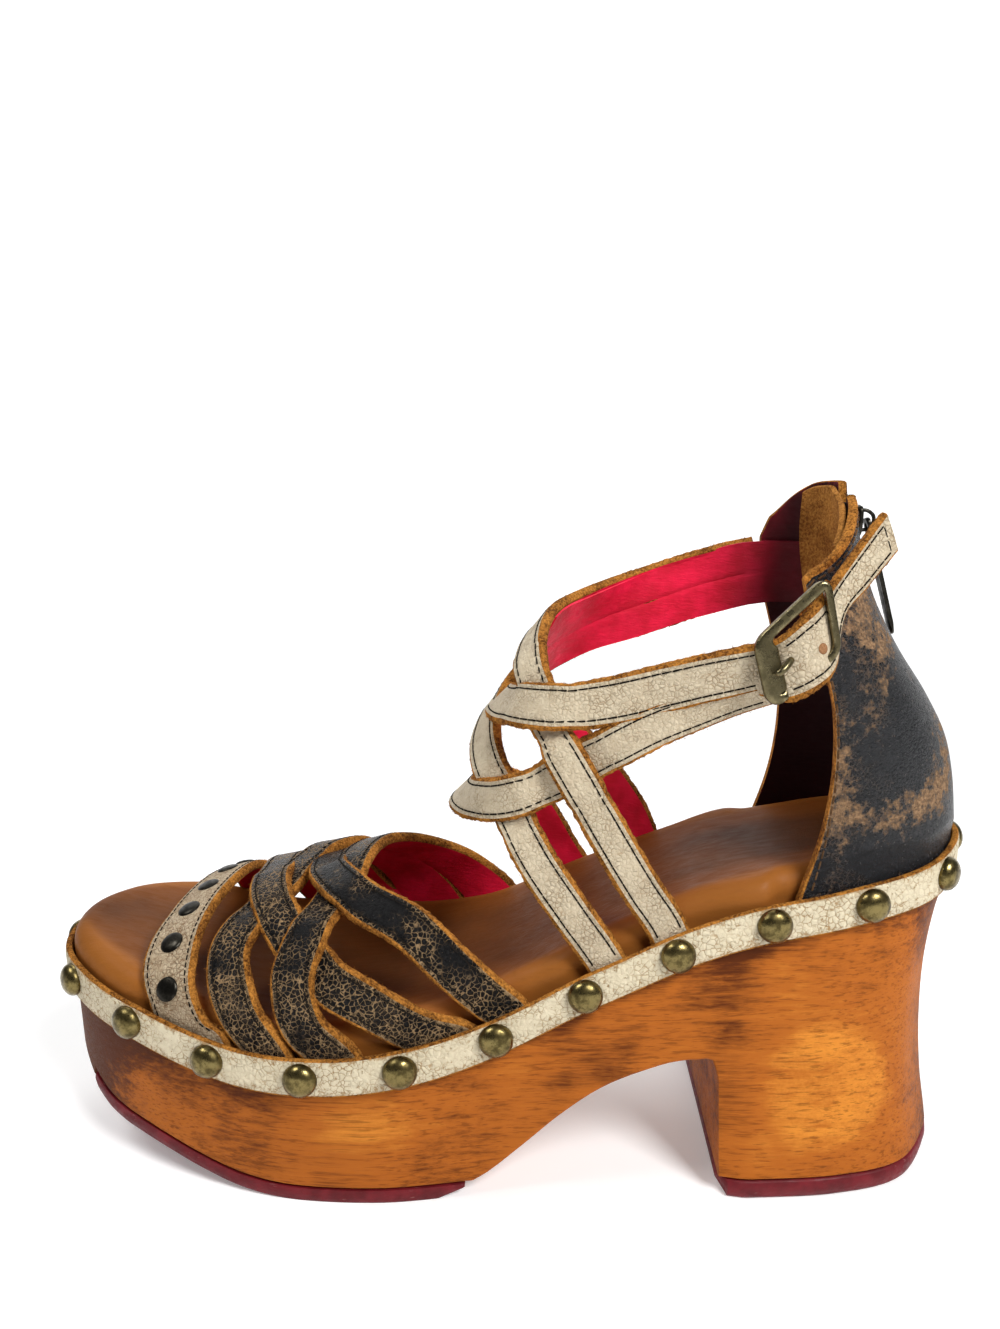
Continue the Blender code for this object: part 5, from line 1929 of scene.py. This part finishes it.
@dataclass
class Counter:
    """One half of the heel counter: scuffed black leather, red lining darkened with painted shade, and raw
    tan edges.
    """

    side: Side
    node: str
    columns: int = 74
    rows: int = 64
    corner: tuple[float, float] = (1.1, 0.93)  # drop of the collar by the zip, turn where it begins
    edge: float = 0.35  # how far the faces stop short of the rounded edge
    stitch: Triple = (2.8, 2.3, 0.25)  # of the stitches: pitch, length, radius
    patches: Rows = (  # rubbed places: x, z, half width, half height, amount
        (87, 153, 8, 9, 0.75),
        (95, 144, 6, 6, 0.55),
        (84, 112, 5, 22, 0.6),
        (98, 103, 13, 6, 0.62),
        (110, 108, 7, 6, 0.6),
        (92, 132, 4, 9, 0.45),
        (114, 122, 6, 13, 0.62),
    )

    def sheet(self, depth: float, drop: float = 0.0) -> tuple[Array, Array, Array]:
        """Grid of one face of the counter from its foot to the collar.

        Args:
            depth: distance in from the outer face.
            drop: how far short of the collar and foot it stops.

        Returns:
            Points, and the turn and height share of each.
        """
        turn = np.linspace(0, 1, self.columns)[:, None]
        foot = counter_point(turn[:, 0], np.full(self.columns, COUNTER_FOOT_Z), self.side)
        low = rim_height(foot[:, 0]) - STRAP_END + 2 * GAP
        fall, start = self.corner
        high = table(COLLAR, self.side.value[1], turn[:, 0]) - fall * ease(turn[:, 0], start, 1.0)
        share = np.linspace(0, 1, self.rows)[None]
        z = (low + drop)[:, None] + (high - low - 2 * drop)[:, None] * share
        turn, share = np.broadcast_arrays(turn, share)
        return counter_point(turn, z, self.side, depth), turn, share

    def build(self) -> None:
        """Outer and inner faces joined by rounded raw edges, and the seams."""
        outer, turn, share = self.sheet(0.0, self.edge)
        lip, _, _ = self.sheet(0.5)
        back, _, _ = self.sheet(COUNTER_THICK - 0.5)
        inner, _, _ = self.sheet(COUNTER_THICK, self.edge)
        rub = self.scuffs(outer, turn, share)
        shell = Shell()
        raw = np.zeros((self.columns - 1, self.rows - 1), int)
        raw[:1] = 1
        raw[:, -1:] = 1
        shell.grid(outer, raw, marks={"rub": rub})
        # deep mark: painted shade over the inner face, least at the collar by the front edge
        deep = 1 - 0.8 * np.exp(-(1 - share) / 0.25 - turn / 0.4)
        shell.grid(inner, 2, marks={"deep": deep})
        for rim_row in (0, -1):
            strip = [face[:, rim_row] for face in (outer, lip, back, inner)]
            shell.grid(np.stack(strip, axis=1), 1)
        for end in (0, -1):
            middle = (outer[end] + inner[end]) / 2
            shell.grid(np.stack([outer[end], middle, inner[end]], axis=1), 1)
        for column in (0, -1):
            for end in (0, -1):
                loop = [face[end, column] for face in (outer, lip, back, inner)]
                middle = (loop[0] + loop[-1]) / 2
                for near, far in zip(loop, loop[1:]):
                    shell.grid(np.array([[near, far], [middle, middle]]), 1)
        made = shell.build(f"{self.node}_leather", skins(COUNTER_BLACK, SHADED_RED_LINING))
        dress(made, Slot.BLACK, self.node)
        self.seams()

    def scuffs(self, points: Array, turn: Array, share: Array) -> Array:
        """Rub mark: it fades in from every edge, and each rubbed place adds a bell curve.

        Args:
            points: the outer face.
            turn: share of the way from the front edge to the zip.
            share: share of the way from the foot to the collar.

        Returns:
            The mark, 0 to 1.
        """
        x, z = points[..., 0], points[..., 2]
        rub = 0.5 * np.exp(-turn / 0.03) + 0.5 * np.exp(-(1 - turn) / 0.04)
        rub = rub + 0.3 * np.exp(-share / 0.03) + 0.4 * np.exp(-(1 - share) / 0.035)
        for at_x, at_z, wide, high, amount in self.patches:
            rub = rub + amount * np.exp(-(((x - at_x) / wide) ** 2) - ((z - at_z) / high) ** 2)
        return np.clip(rub, 0, 1)

    def seams(self) -> None:
        """Stitch lines along the front edge and the collar, and two beside the zip."""
        seam = Shell()
        lifted, _, _ = self.sheet(-0.02)
        along = np.gradient(lifted, axis=0)
        up = np.gradient(lifted, axis=1)
        normal = unit(np.cross(along, up)) * self.side.value[0] * -1
        middle = np.array([90.0, 0.0, 0.0])
        flip = np.sign(np.sum((lifted - middle)[..., :2] * normal[..., :2], axis=-1, keepdims=True))
        normal = normal * flip
        for turn in (0.05, 0.93, 0.975):
            row = turn * (self.columns - 1)
            k, part = int(row), row - int(row)
            line = lifted[k] * (1 - part) + lifted[k + 1] * part
            Seam(*self.stitch).add_to(seam, (line[2:-2], normal[k][2:-2]))
        collar = -3  # row of the seam below the collar
        Seam(*self.stitch).add_to(seam, (lifted[3:-3, collar], normal[3:-3, collar]))
        dress(seam.build(f"{self.node}_stitches", [look(TAN_THREAD)]), Slot.BLACK)


def back_sheet(turn: Array, low: float, high: Array, depth: float, thick: float) -> Array:
    """Soft sheet carried round the back inside the counter, drawn in to the middle at the zip.

    Args:
        turn: places from the lateral side, below 0, to the medial side, with 0 at the zip.
        low: height of the lower edge.
        high: height of the upper edge at each place.
        depth: how far its outer face is inside the counter's outer face.
        thick: thickness.

    Returns:
        One closed section for each place.
    """
    rows = []
    for value, top in zip(turn, high):
        side = Side.LATERAL if value < 0 else Side.MEDIAL
        share = 1 - abs(value)
        z = np.linspace(low, top, 30)
        ring = [
            counter_point(share, z, side, depth),
            counter_point(share, z[-1:] + 0.35, side, depth + thick / 2),
            counter_point(share, z[::-1], side, depth + thick),
            counter_point(share, z[:1] - 0.35, side, depth + thick / 2),
        ]
        ring = np.vstack(ring)
        ring[:, 1] = np.where(abs(value) < 1e-9, 0, ring[:, 1])
        rows.append(ring)
    points = np.stack(rows)
    reach = 0.14  # turn over which it is drawn in
    blend = ease(np.abs(turn), 0.0, reach)[:, None]
    points[..., 1] *= blend + (1 - blend) * np.abs(turn)[:, None] / reach
    return points


@dataclass
class ZipGuard:
    """Suede flap behind the zip at the collar."""

    reach: float = 0.55
    thick: float = 1.5
    drop: float = 1.6
    bottom: float = 148.0

    def build(self) -> None:
        """Soft sheet inside the collar, its top eased from one half's height to the other's."""
        turn = np.linspace(-self.reach, self.reach, 61)
        lateral, medial = (table(COLLAR, side.value[1], 1 - np.abs(turn)) - self.drop for side in Side)
        share = ease(turn, -0.06, 0.12)
        top = lateral * (1 - share) + medial * share
        points = back_sheet(turn, self.bottom, top, COUNTER_THICK + 2 * GAP, self.thick)
        shell = Shell()
        shell.grid(points, 0, (False, True), True)
        dress(shell.build("zip_guard_suede", [look(SUEDE)]), Slot.SUEDE, "zip_guard")


@dataclass
class Zip:
    """Zip up the back: tape, two rows of teeth, slider with its bail, and the pull."""

    bottom: float = 91.5
    top: float = 178.0
    thick: float = 1.6
    pitch: float = 1.55
    backing: float = 0.17  # turn that the tape reaches to behind the leather
    backing_top: float = 147.3
    lean: float = math.radians(16.5)  # lean of the pull from the vertical at rest
    pull_thick: float = 1.1
    outline: Rows = ((-0.6, 1.5), (5.2, 1.9), (8.0, 1.7), (29.5, 1.5), (31.0, 1.0))  # run, half width
    eye: Triple = (0.85, 0.6, 4.6)  # half width, start and end
    wall: Rows = (  # share from the outline to the eye, height as a share of the half thickness
        (0.0, -0.5), (0.0, 0.5), (0.06, 1.0), (0.94, 1.0),
        (1.0, 0.5), (1.0, -0.5), (0.94, -1.0), (0.06, -1.0),
    )
    body: Triple = (2.6, 0.8, 4.25)  # half width, half depth and half height of the slider
    bail: Rows = ((-2.1, -2.6), (0.2, -2.3), (1.5, -1.2), (1.5, 1.2), (0.2, 2.3), (-2.1, 2.6))

    def build(self) -> None:
        """Builds the fixed pieces and the pull."""
        self.tape()
        self.slider()
        self.pull()

    def face(self, z: Array, lift: float = 0.0) -> Array:
        """Points up the middle of the zip's outer face, lifted off it."""
        return np.c_[table(COUNTER, 1, z) - ZIP_SUNK + lift, 0 * z, z]

    def tape(self) -> None:
        """Tape section carried up the back, with teeth stamped along both sides of the middle."""
        z = np.linspace(self.bottom, self.top, 90)
        half = ZIP_HALF - GAP
        ring = superellipse(20, 6)
        front = self.face(z, -self.thick / 2)
        section = np.stack([ring[:, 1] * self.thick / 2, ring[:, 0] * half, 0 * ring[:, 0]], axis=1)
        points = front[:, None] + section
        shell = Shell()
        shell.grid(points, 0, (False, True), True)
        turn = np.linspace(-self.backing, self.backing, 25)
        top = np.full(len(turn), self.backing_top)
        shell.grid(back_sheet(turn, self.bottom, top, COUNTER_THICK + GAP, 0.5), 0, (False, True), True)
        steps = np.arange(self.bottom + 1, self.top - 6, self.pitch)
        block = capsule(2.1, 0.62, 4)
        block[..., 1] *= 0.8
        for sign, shift in ((-1, 0.0), (1, self.pitch / 2)):
            centres = self.face(steps + shift, 0.0) + (0, sign * 0.75, 0)
            up = unit(np.gradient(centres, axis=0))
            out = np.cross((0.0, 1.0, 0.0), up)
            frames = np.stack([np.tile((0.0, 1.0, 0.0), (len(steps), 1)), up, out], axis=1)
            shell.stamps(block, frames, centres, 1)
        dress(shell.build("zip_tape_and_teeth", [look(TAPE), look(DARK_METAL)]), Slot.CLOTH, "zip_strip")

    def hinge(self) -> Array:
        """Place of the pull's hinge."""
        face = float(table(COUNTER, 1, SLIDER_Z)) - ZIP_SUNK + SLIDER_LIFT
        return np.array([face + HINGE_OUT, 0.0, SLIDER_Z])

    def slider(self) -> None:
        """Rounded slider body, waisted below, with a round bail."""
        hinge = self.hinge()
        rows = np.linspace(-1, 1, 17)
        ring = superellipse(28, 4)
        swell = (1 - np.abs(rows) ** 6) ** 0.5
        half_width, half_depth, half_height = self.body
        wide = half_width * swell * (1 - 0.22 * ease(-rows, 0.1, 0.9))
        deep = half_depth * swell
        x = np.full(len(rows), hinge[0] - HINGE_OUT + half_depth)
        centre = np.c_[x, 0 * rows, SLIDER_Z - 0.25 + half_height * rows]
        level = np.zeros((len(rows), len(ring)))
        section = np.stack([deep[:, None] * ring[:, 1], wide[:, None] * ring[:, 0], level], axis=-1)
        points = centre[:, None] + section
        shell = Shell()
        shell.grid(points, 0, (False, True), True)
        knots = np.asarray(self.bail, float)
        path = smooth(run_along(knots), knots, np.linspace(0, run_along(knots)[-1], 40))
        tube(shell, hinge + np.c_[path[:, 0], np.zeros(40), path[:, 1]], np.full(40, 0.48))
        dress(shell.build("zip_slider_body", [look(DARK_METAL)], 50), Slot.DARK, "zip_slider")

    def pull(self) -> None:
        """Flat tab with an eye: rounded wall carried round the gap between its outline and the eye."""
        hinge = self.hinge()
        shape = np.asarray(self.outline, float)
        run = np.linspace(shape[0, 0], shape[-1, 0], 60)
        half = np.interp(run, shape[:, 0], shape[:, 1])
        half = half * np.sqrt(np.clip(1 - np.clip((np.abs(run - 15.2) - 14.6) / 1.3, 0, 1) ** 2, 0.04, 1))
        outer = np.vstack([np.c_[run, half], np.c_[run, -half][::-1]])
        eye_half, start, end = self.eye
        turn = np.linspace(np.pi, 0, 60)
        eye_run = (start + end) / 2 + (end - start) / 2 * np.cos(turn)
        eye_wide = eye_half * np.sqrt(np.clip(1 - np.cos(turn) ** 4, 0.02, 1))
        inner = np.vstack([np.c_[eye_run, eye_wide], np.c_[eye_run, -eye_wide][::-1]])
        down = np.array([math.sin(self.lean), 0.0, -math.cos(self.lean)])
        out = np.array([math.cos(self.lean), 0.0, math.sin(self.lean)])
        t = self.pull_thick / 2
        rows = []
        across = np.array([0.0, 1.0, 0.0])
        for share, level in self.wall:
            flat = outer * (1 - share) + inner * share
            rows.append(hinge + flat[:, :1] * down + flat[:, 1:] * across + out * t * level)
        shell = Shell()
        shell.grid(np.stack(rows, axis=1), 0, (True, True))
        dress(shell.build("zip_pull_tab", [look(DARK_METAL)], 50), Slot.DARK, "zip_pull", body=Body.PULL)


def tube(shell: Shell, path: Array, radius: Array, sides: int = 14, finish: int = 0) -> None:
    """Round bar: a circle of varying radius carried along a path and capped.

    Args:
        shell: takes the bar.
        path: its centre line.
        radius: radius at each point.
        sides: points round it.
        finish: its finish.
    """
    tangent = unit(np.gradient(path, axis=0))
    side = unit(np.cross(tangent, (0.12, 0.2, 1.0)))
    up = np.cross(tangent, side)
    turn = np.linspace(0, 2 * np.pi, sides, endpoint=False)
    ring = np.cos(turn)[None, :, None] * side[:, None] + np.sin(turn)[None, :, None] * up[:, None]
    shell.grid(path[:, None] + ring * radius[:, None, None], finish, (False, True), True, finish)


@dataclass
class Buckle:
    """Brass buckle with a wide front plate, its prong, and the leather chape that holds it."""

    corners: Rows = ((60.6, -38.4, 148.0), (74.5, -36.4, 161.2), (77.8, -37.2, 145.7), (64.2, -39.5, 134.0))
    bar: float = 1.3
    corner_r: float = 2.6
    sides: tuple[float, ...] = (2.6, 1.9, 2.0, 5.4)  # widths of the top, back bar, bottom and plate
    sag: tuple[float, ...] = (0.0, 0.0, 2.6, 0.0)  # how far each side bends in towards the ankle
    shift: float = 0.18  # how far a bar wider than the top moves outwards, as a share of the difference
    prong: Rows = ((68.0, -37.4, 144.2), (66.8, -39.6, 143.4), (65.0, -41.3, 141.9), (63.4, -41.5, 140.7))
    chape: Rows = ((72.5, -30.6, 151), (75, -29.2, 153), (77.5, -27.6, 155.5), (80, -26.4, 158))

    def build(self) -> None:
        """Builds the frame, the prong and the chape."""
        self.frame()
        self.tongue_pin()
        strap = Strap(ankle_path(self.chape, 0.8, (0.3, -1.0, 0.1)), 7.0, 1.6, crown=0.15, seed=71)
        shell = Shell()
        strap.add_to(shell)
        made = shell.build("buckle_chape_leather", skins(COUNTER_BLACK, SHADED_RED_LINING))
        dress(made, Slot.BLACK, "buckle_chape")

    def frame(self) -> None:
        """Rounded section carried round four sides and their arcs, widened at the plate."""
        corners = np.asarray(self.corners, float)
        out = unit(np.cross(corners[1] - corners[3], corners[2] - corners[0]))
        spots, widths = [], []
        t = np.linspace(0, 1, 9)[:, None]
        for k, corner in enumerate(corners):
            before, after = unit(corners[k - 1] - corner), unit(corners[(k + 1) % 4] - corner)
            start, end = corner + before * self.corner_r, corner + after * self.corner_r
            spots.append((1 - t) ** 2 * start + 2 * t * (1 - t) * corner + t**2 * end)
            widths.append(self.sides[k - 1] + (self.sides[k] - self.sides[k - 1]) * ease(t[:, 0], 0, 1))
            following = corners[(k + 1) % 4] - after * self.corner_r
            side = np.linspace(0, 1, 14)[1:-1, None]
            spots.append(end * (1 - side) + following * side + out * self.sag[k] * np.sin(np.pi * side))
            widths.append(np.full(12, self.sides[k]))
        path, width = np.vstack(spots), np.concatenate(widths)
        tangent = unit(np.roll(path, -1, 0) - np.roll(path, 1, 0))
        inward = unit(np.cross(tangent, out))
        ring = superellipse(24, 3.2)
        wide = width[:, None]
        reach = ring[:, 0] * wide / 2 - self.shift * (wide - self.sides[0])
        lift = out * (ring[:, 1] * self.bar * 0.9)[None, :, None]
        points = path[:, None] + inward[:, None] * reach[..., None] + lift
        shell = Shell()
        shell.grid(points, 0, (True, True))
        dress(shell.build("buckle_frame_brass", [look(BUCKLE_BRASS)], 50), Slot.BRASS, "buckle_frame")

    def tongue_pin(self) -> None:
        """Tapered prong along a smooth line from the strap over the plate."""
        knots = np.asarray(self.prong, float)
        run = run_along(knots)
        places = np.linspace(0, run[-1], 30)
        radius = 0.85 * np.sqrt(np.clip(1 - ease(places, run[-1] - 1.2, run[-1] + 0.2) ** 2, 0.08, 1))
        shell = Shell()
        tube(shell, smooth(run, knots, places), radius)
        dress(shell.build("buckle_prong_brass", [look(BUCKLE_BRASS)], 50), Slot.BRASS, "buckle_prong")


@dataclass
class Studio:
    """Pale sweep, soft lights and the camera at the photograph's angle."""

    lens: float = 24.609
    sensor: float = 36.0
    eye: Triple = (10.95, -241.75, 182.07)
    pitch: float = 0.19368
    yaw: float = 0.0454
    ambient: float = 0.1
    lights: tuple = (  # name, place, target, side of the square, watts
        ("key", (400, -430, 640), (20, 0, 60), 260, 6.6),
        ("top", (-380, -110, 620), (-20, 0, 60), 260, 2.0),
        ("back", (-50, 380, 700), (10, 0, 80), 380, 1.2),
    )

    def build(self) -> None:
        """Builds the sweep, the lights and the camera."""
        self.sweep()
        for row in self.lights:
            self.light(*row)
        world = bpy.data.worlds.new("studio")
        world.use_nodes = True
        ground = world.node_tree.nodes["Background"]
        ground.inputs["Color"].default_value = (1.0, 1.0, 1.0, 1.0)
        ground.inputs["Strength"].default_value = self.ambient
        bpy.context.scene.world = world
        bpy.context.scene.view_settings.view_transform = "Standard"
        camera = bpy.data.cameras.new("camera")
        camera.lens, camera.sensor_width = self.lens, self.sensor
        camera.clip_start = 0.01
        made = bpy.data.objects.new("camera", camera)
        made.location = np.array(self.eye) * MM
        made.rotation_euler = (math.pi / 2 - self.pitch, 0.0, self.yaw)
        bpy.context.scene.collection.objects.link(made)
        bpy.context.scene.camera = made

    def sweep(self) -> None:
        """Floor that turns up into a wall behind: a straight run, a quarter circle and a straight rise."""
        turn = np.linspace(0, np.pi / 2, 24)
        front, back, radius, half, top, sunk = -3000.0, 2200.0, 1200.0, 5000.0, 5000.0, 0.05
        y = np.r_[front, back + radius * np.sin(turn), back + radius]
        z = np.r_[0.0, radius * (1 - np.cos(turn)), top]
        x = np.linspace(-half, half, 9)
        grid = np.stack(np.broadcast_arrays(x[:, None], y[None], z[None] - sunk), axis=-1)
        shell = Shell()
        shell.grid(grid[:, ::-1])
        g = Graph("pale_floor")
        mottle = g.noise(60.0, 2)
        colour = g.mix(mottle, (0.86, 0.86, 0.86), (0.88, 0.88, 0.88))
        away = g.node("ShaderNodeVectorMath", {"operation": "LENGTH"}, {0: g.place}).outputs["Value"]
        g.put(g.shader.inputs["Emission Color"], (1.0, 1.0, 1.0))
        g.put(g.shader.inputs["Emission Strength"], g.fit(away, 0.3, 1.3, 0.24, 0.85))
        material = g.finish(colour, 0.9, g.relief(mottle, 0.02))
        shell.build("studio_floor", [material])

    def light(self, name: str, place: Triple, target: Triple, size: float, power: float) -> None:
        """Soft square light at a place, turned to a target.

        Args:
            name: its name.
            place: where it stands.
            target: what it points at.
            size: side of the square.
            power: watts.
        """
        data = bpy.data.lights.new(name, "AREA")
        data.size, data.energy = size * MM, power
        made = bpy.data.objects.new(name, data)
        made.location = np.array(place) * MM
        away = np.subtract(place, target) * MM
        made.rotation_mode = "QUATERNION"
        made.rotation_quaternion = Vector(away).to_track_quat("Z", "Y")
        bpy.context.scene.collection.objects.link(made)


def main() -> None:
    """Builds the pieces in order."""
    logging.basicConfig(level=logging.INFO, format="%(message)s")
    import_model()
    toe, vamp, ankle = ToeStrap(), VampStraps(), AnkleStraps()
    ends = [(strap, end) for strap in (toe.strap, *vamp.straps.values()) for end in (0, -1)]
    ends += [(strap, 0) for strap in ankle.straps.values()]
    roots = [(strap.path[0][end, :2], strap.width / 2) for strap, end in ends]
    pieces = (
        ClogBase(),
        Soles(),
        Rand(),
        Insole(roots),
        toe,
        vamp,
        ankle,
        Counter(Side.LATERAL, "counter_lateral"),
        Counter(Side.MEDIAL, "counter_medial"),
        ZipGuard(),
        Zip(),
        Buckle(),
        Studio(),
    )
    for piece in pieces:
        LOG.info("building %s", type(piece).__name__)
        piece.build()


if __name__ == "__main__":
    main()
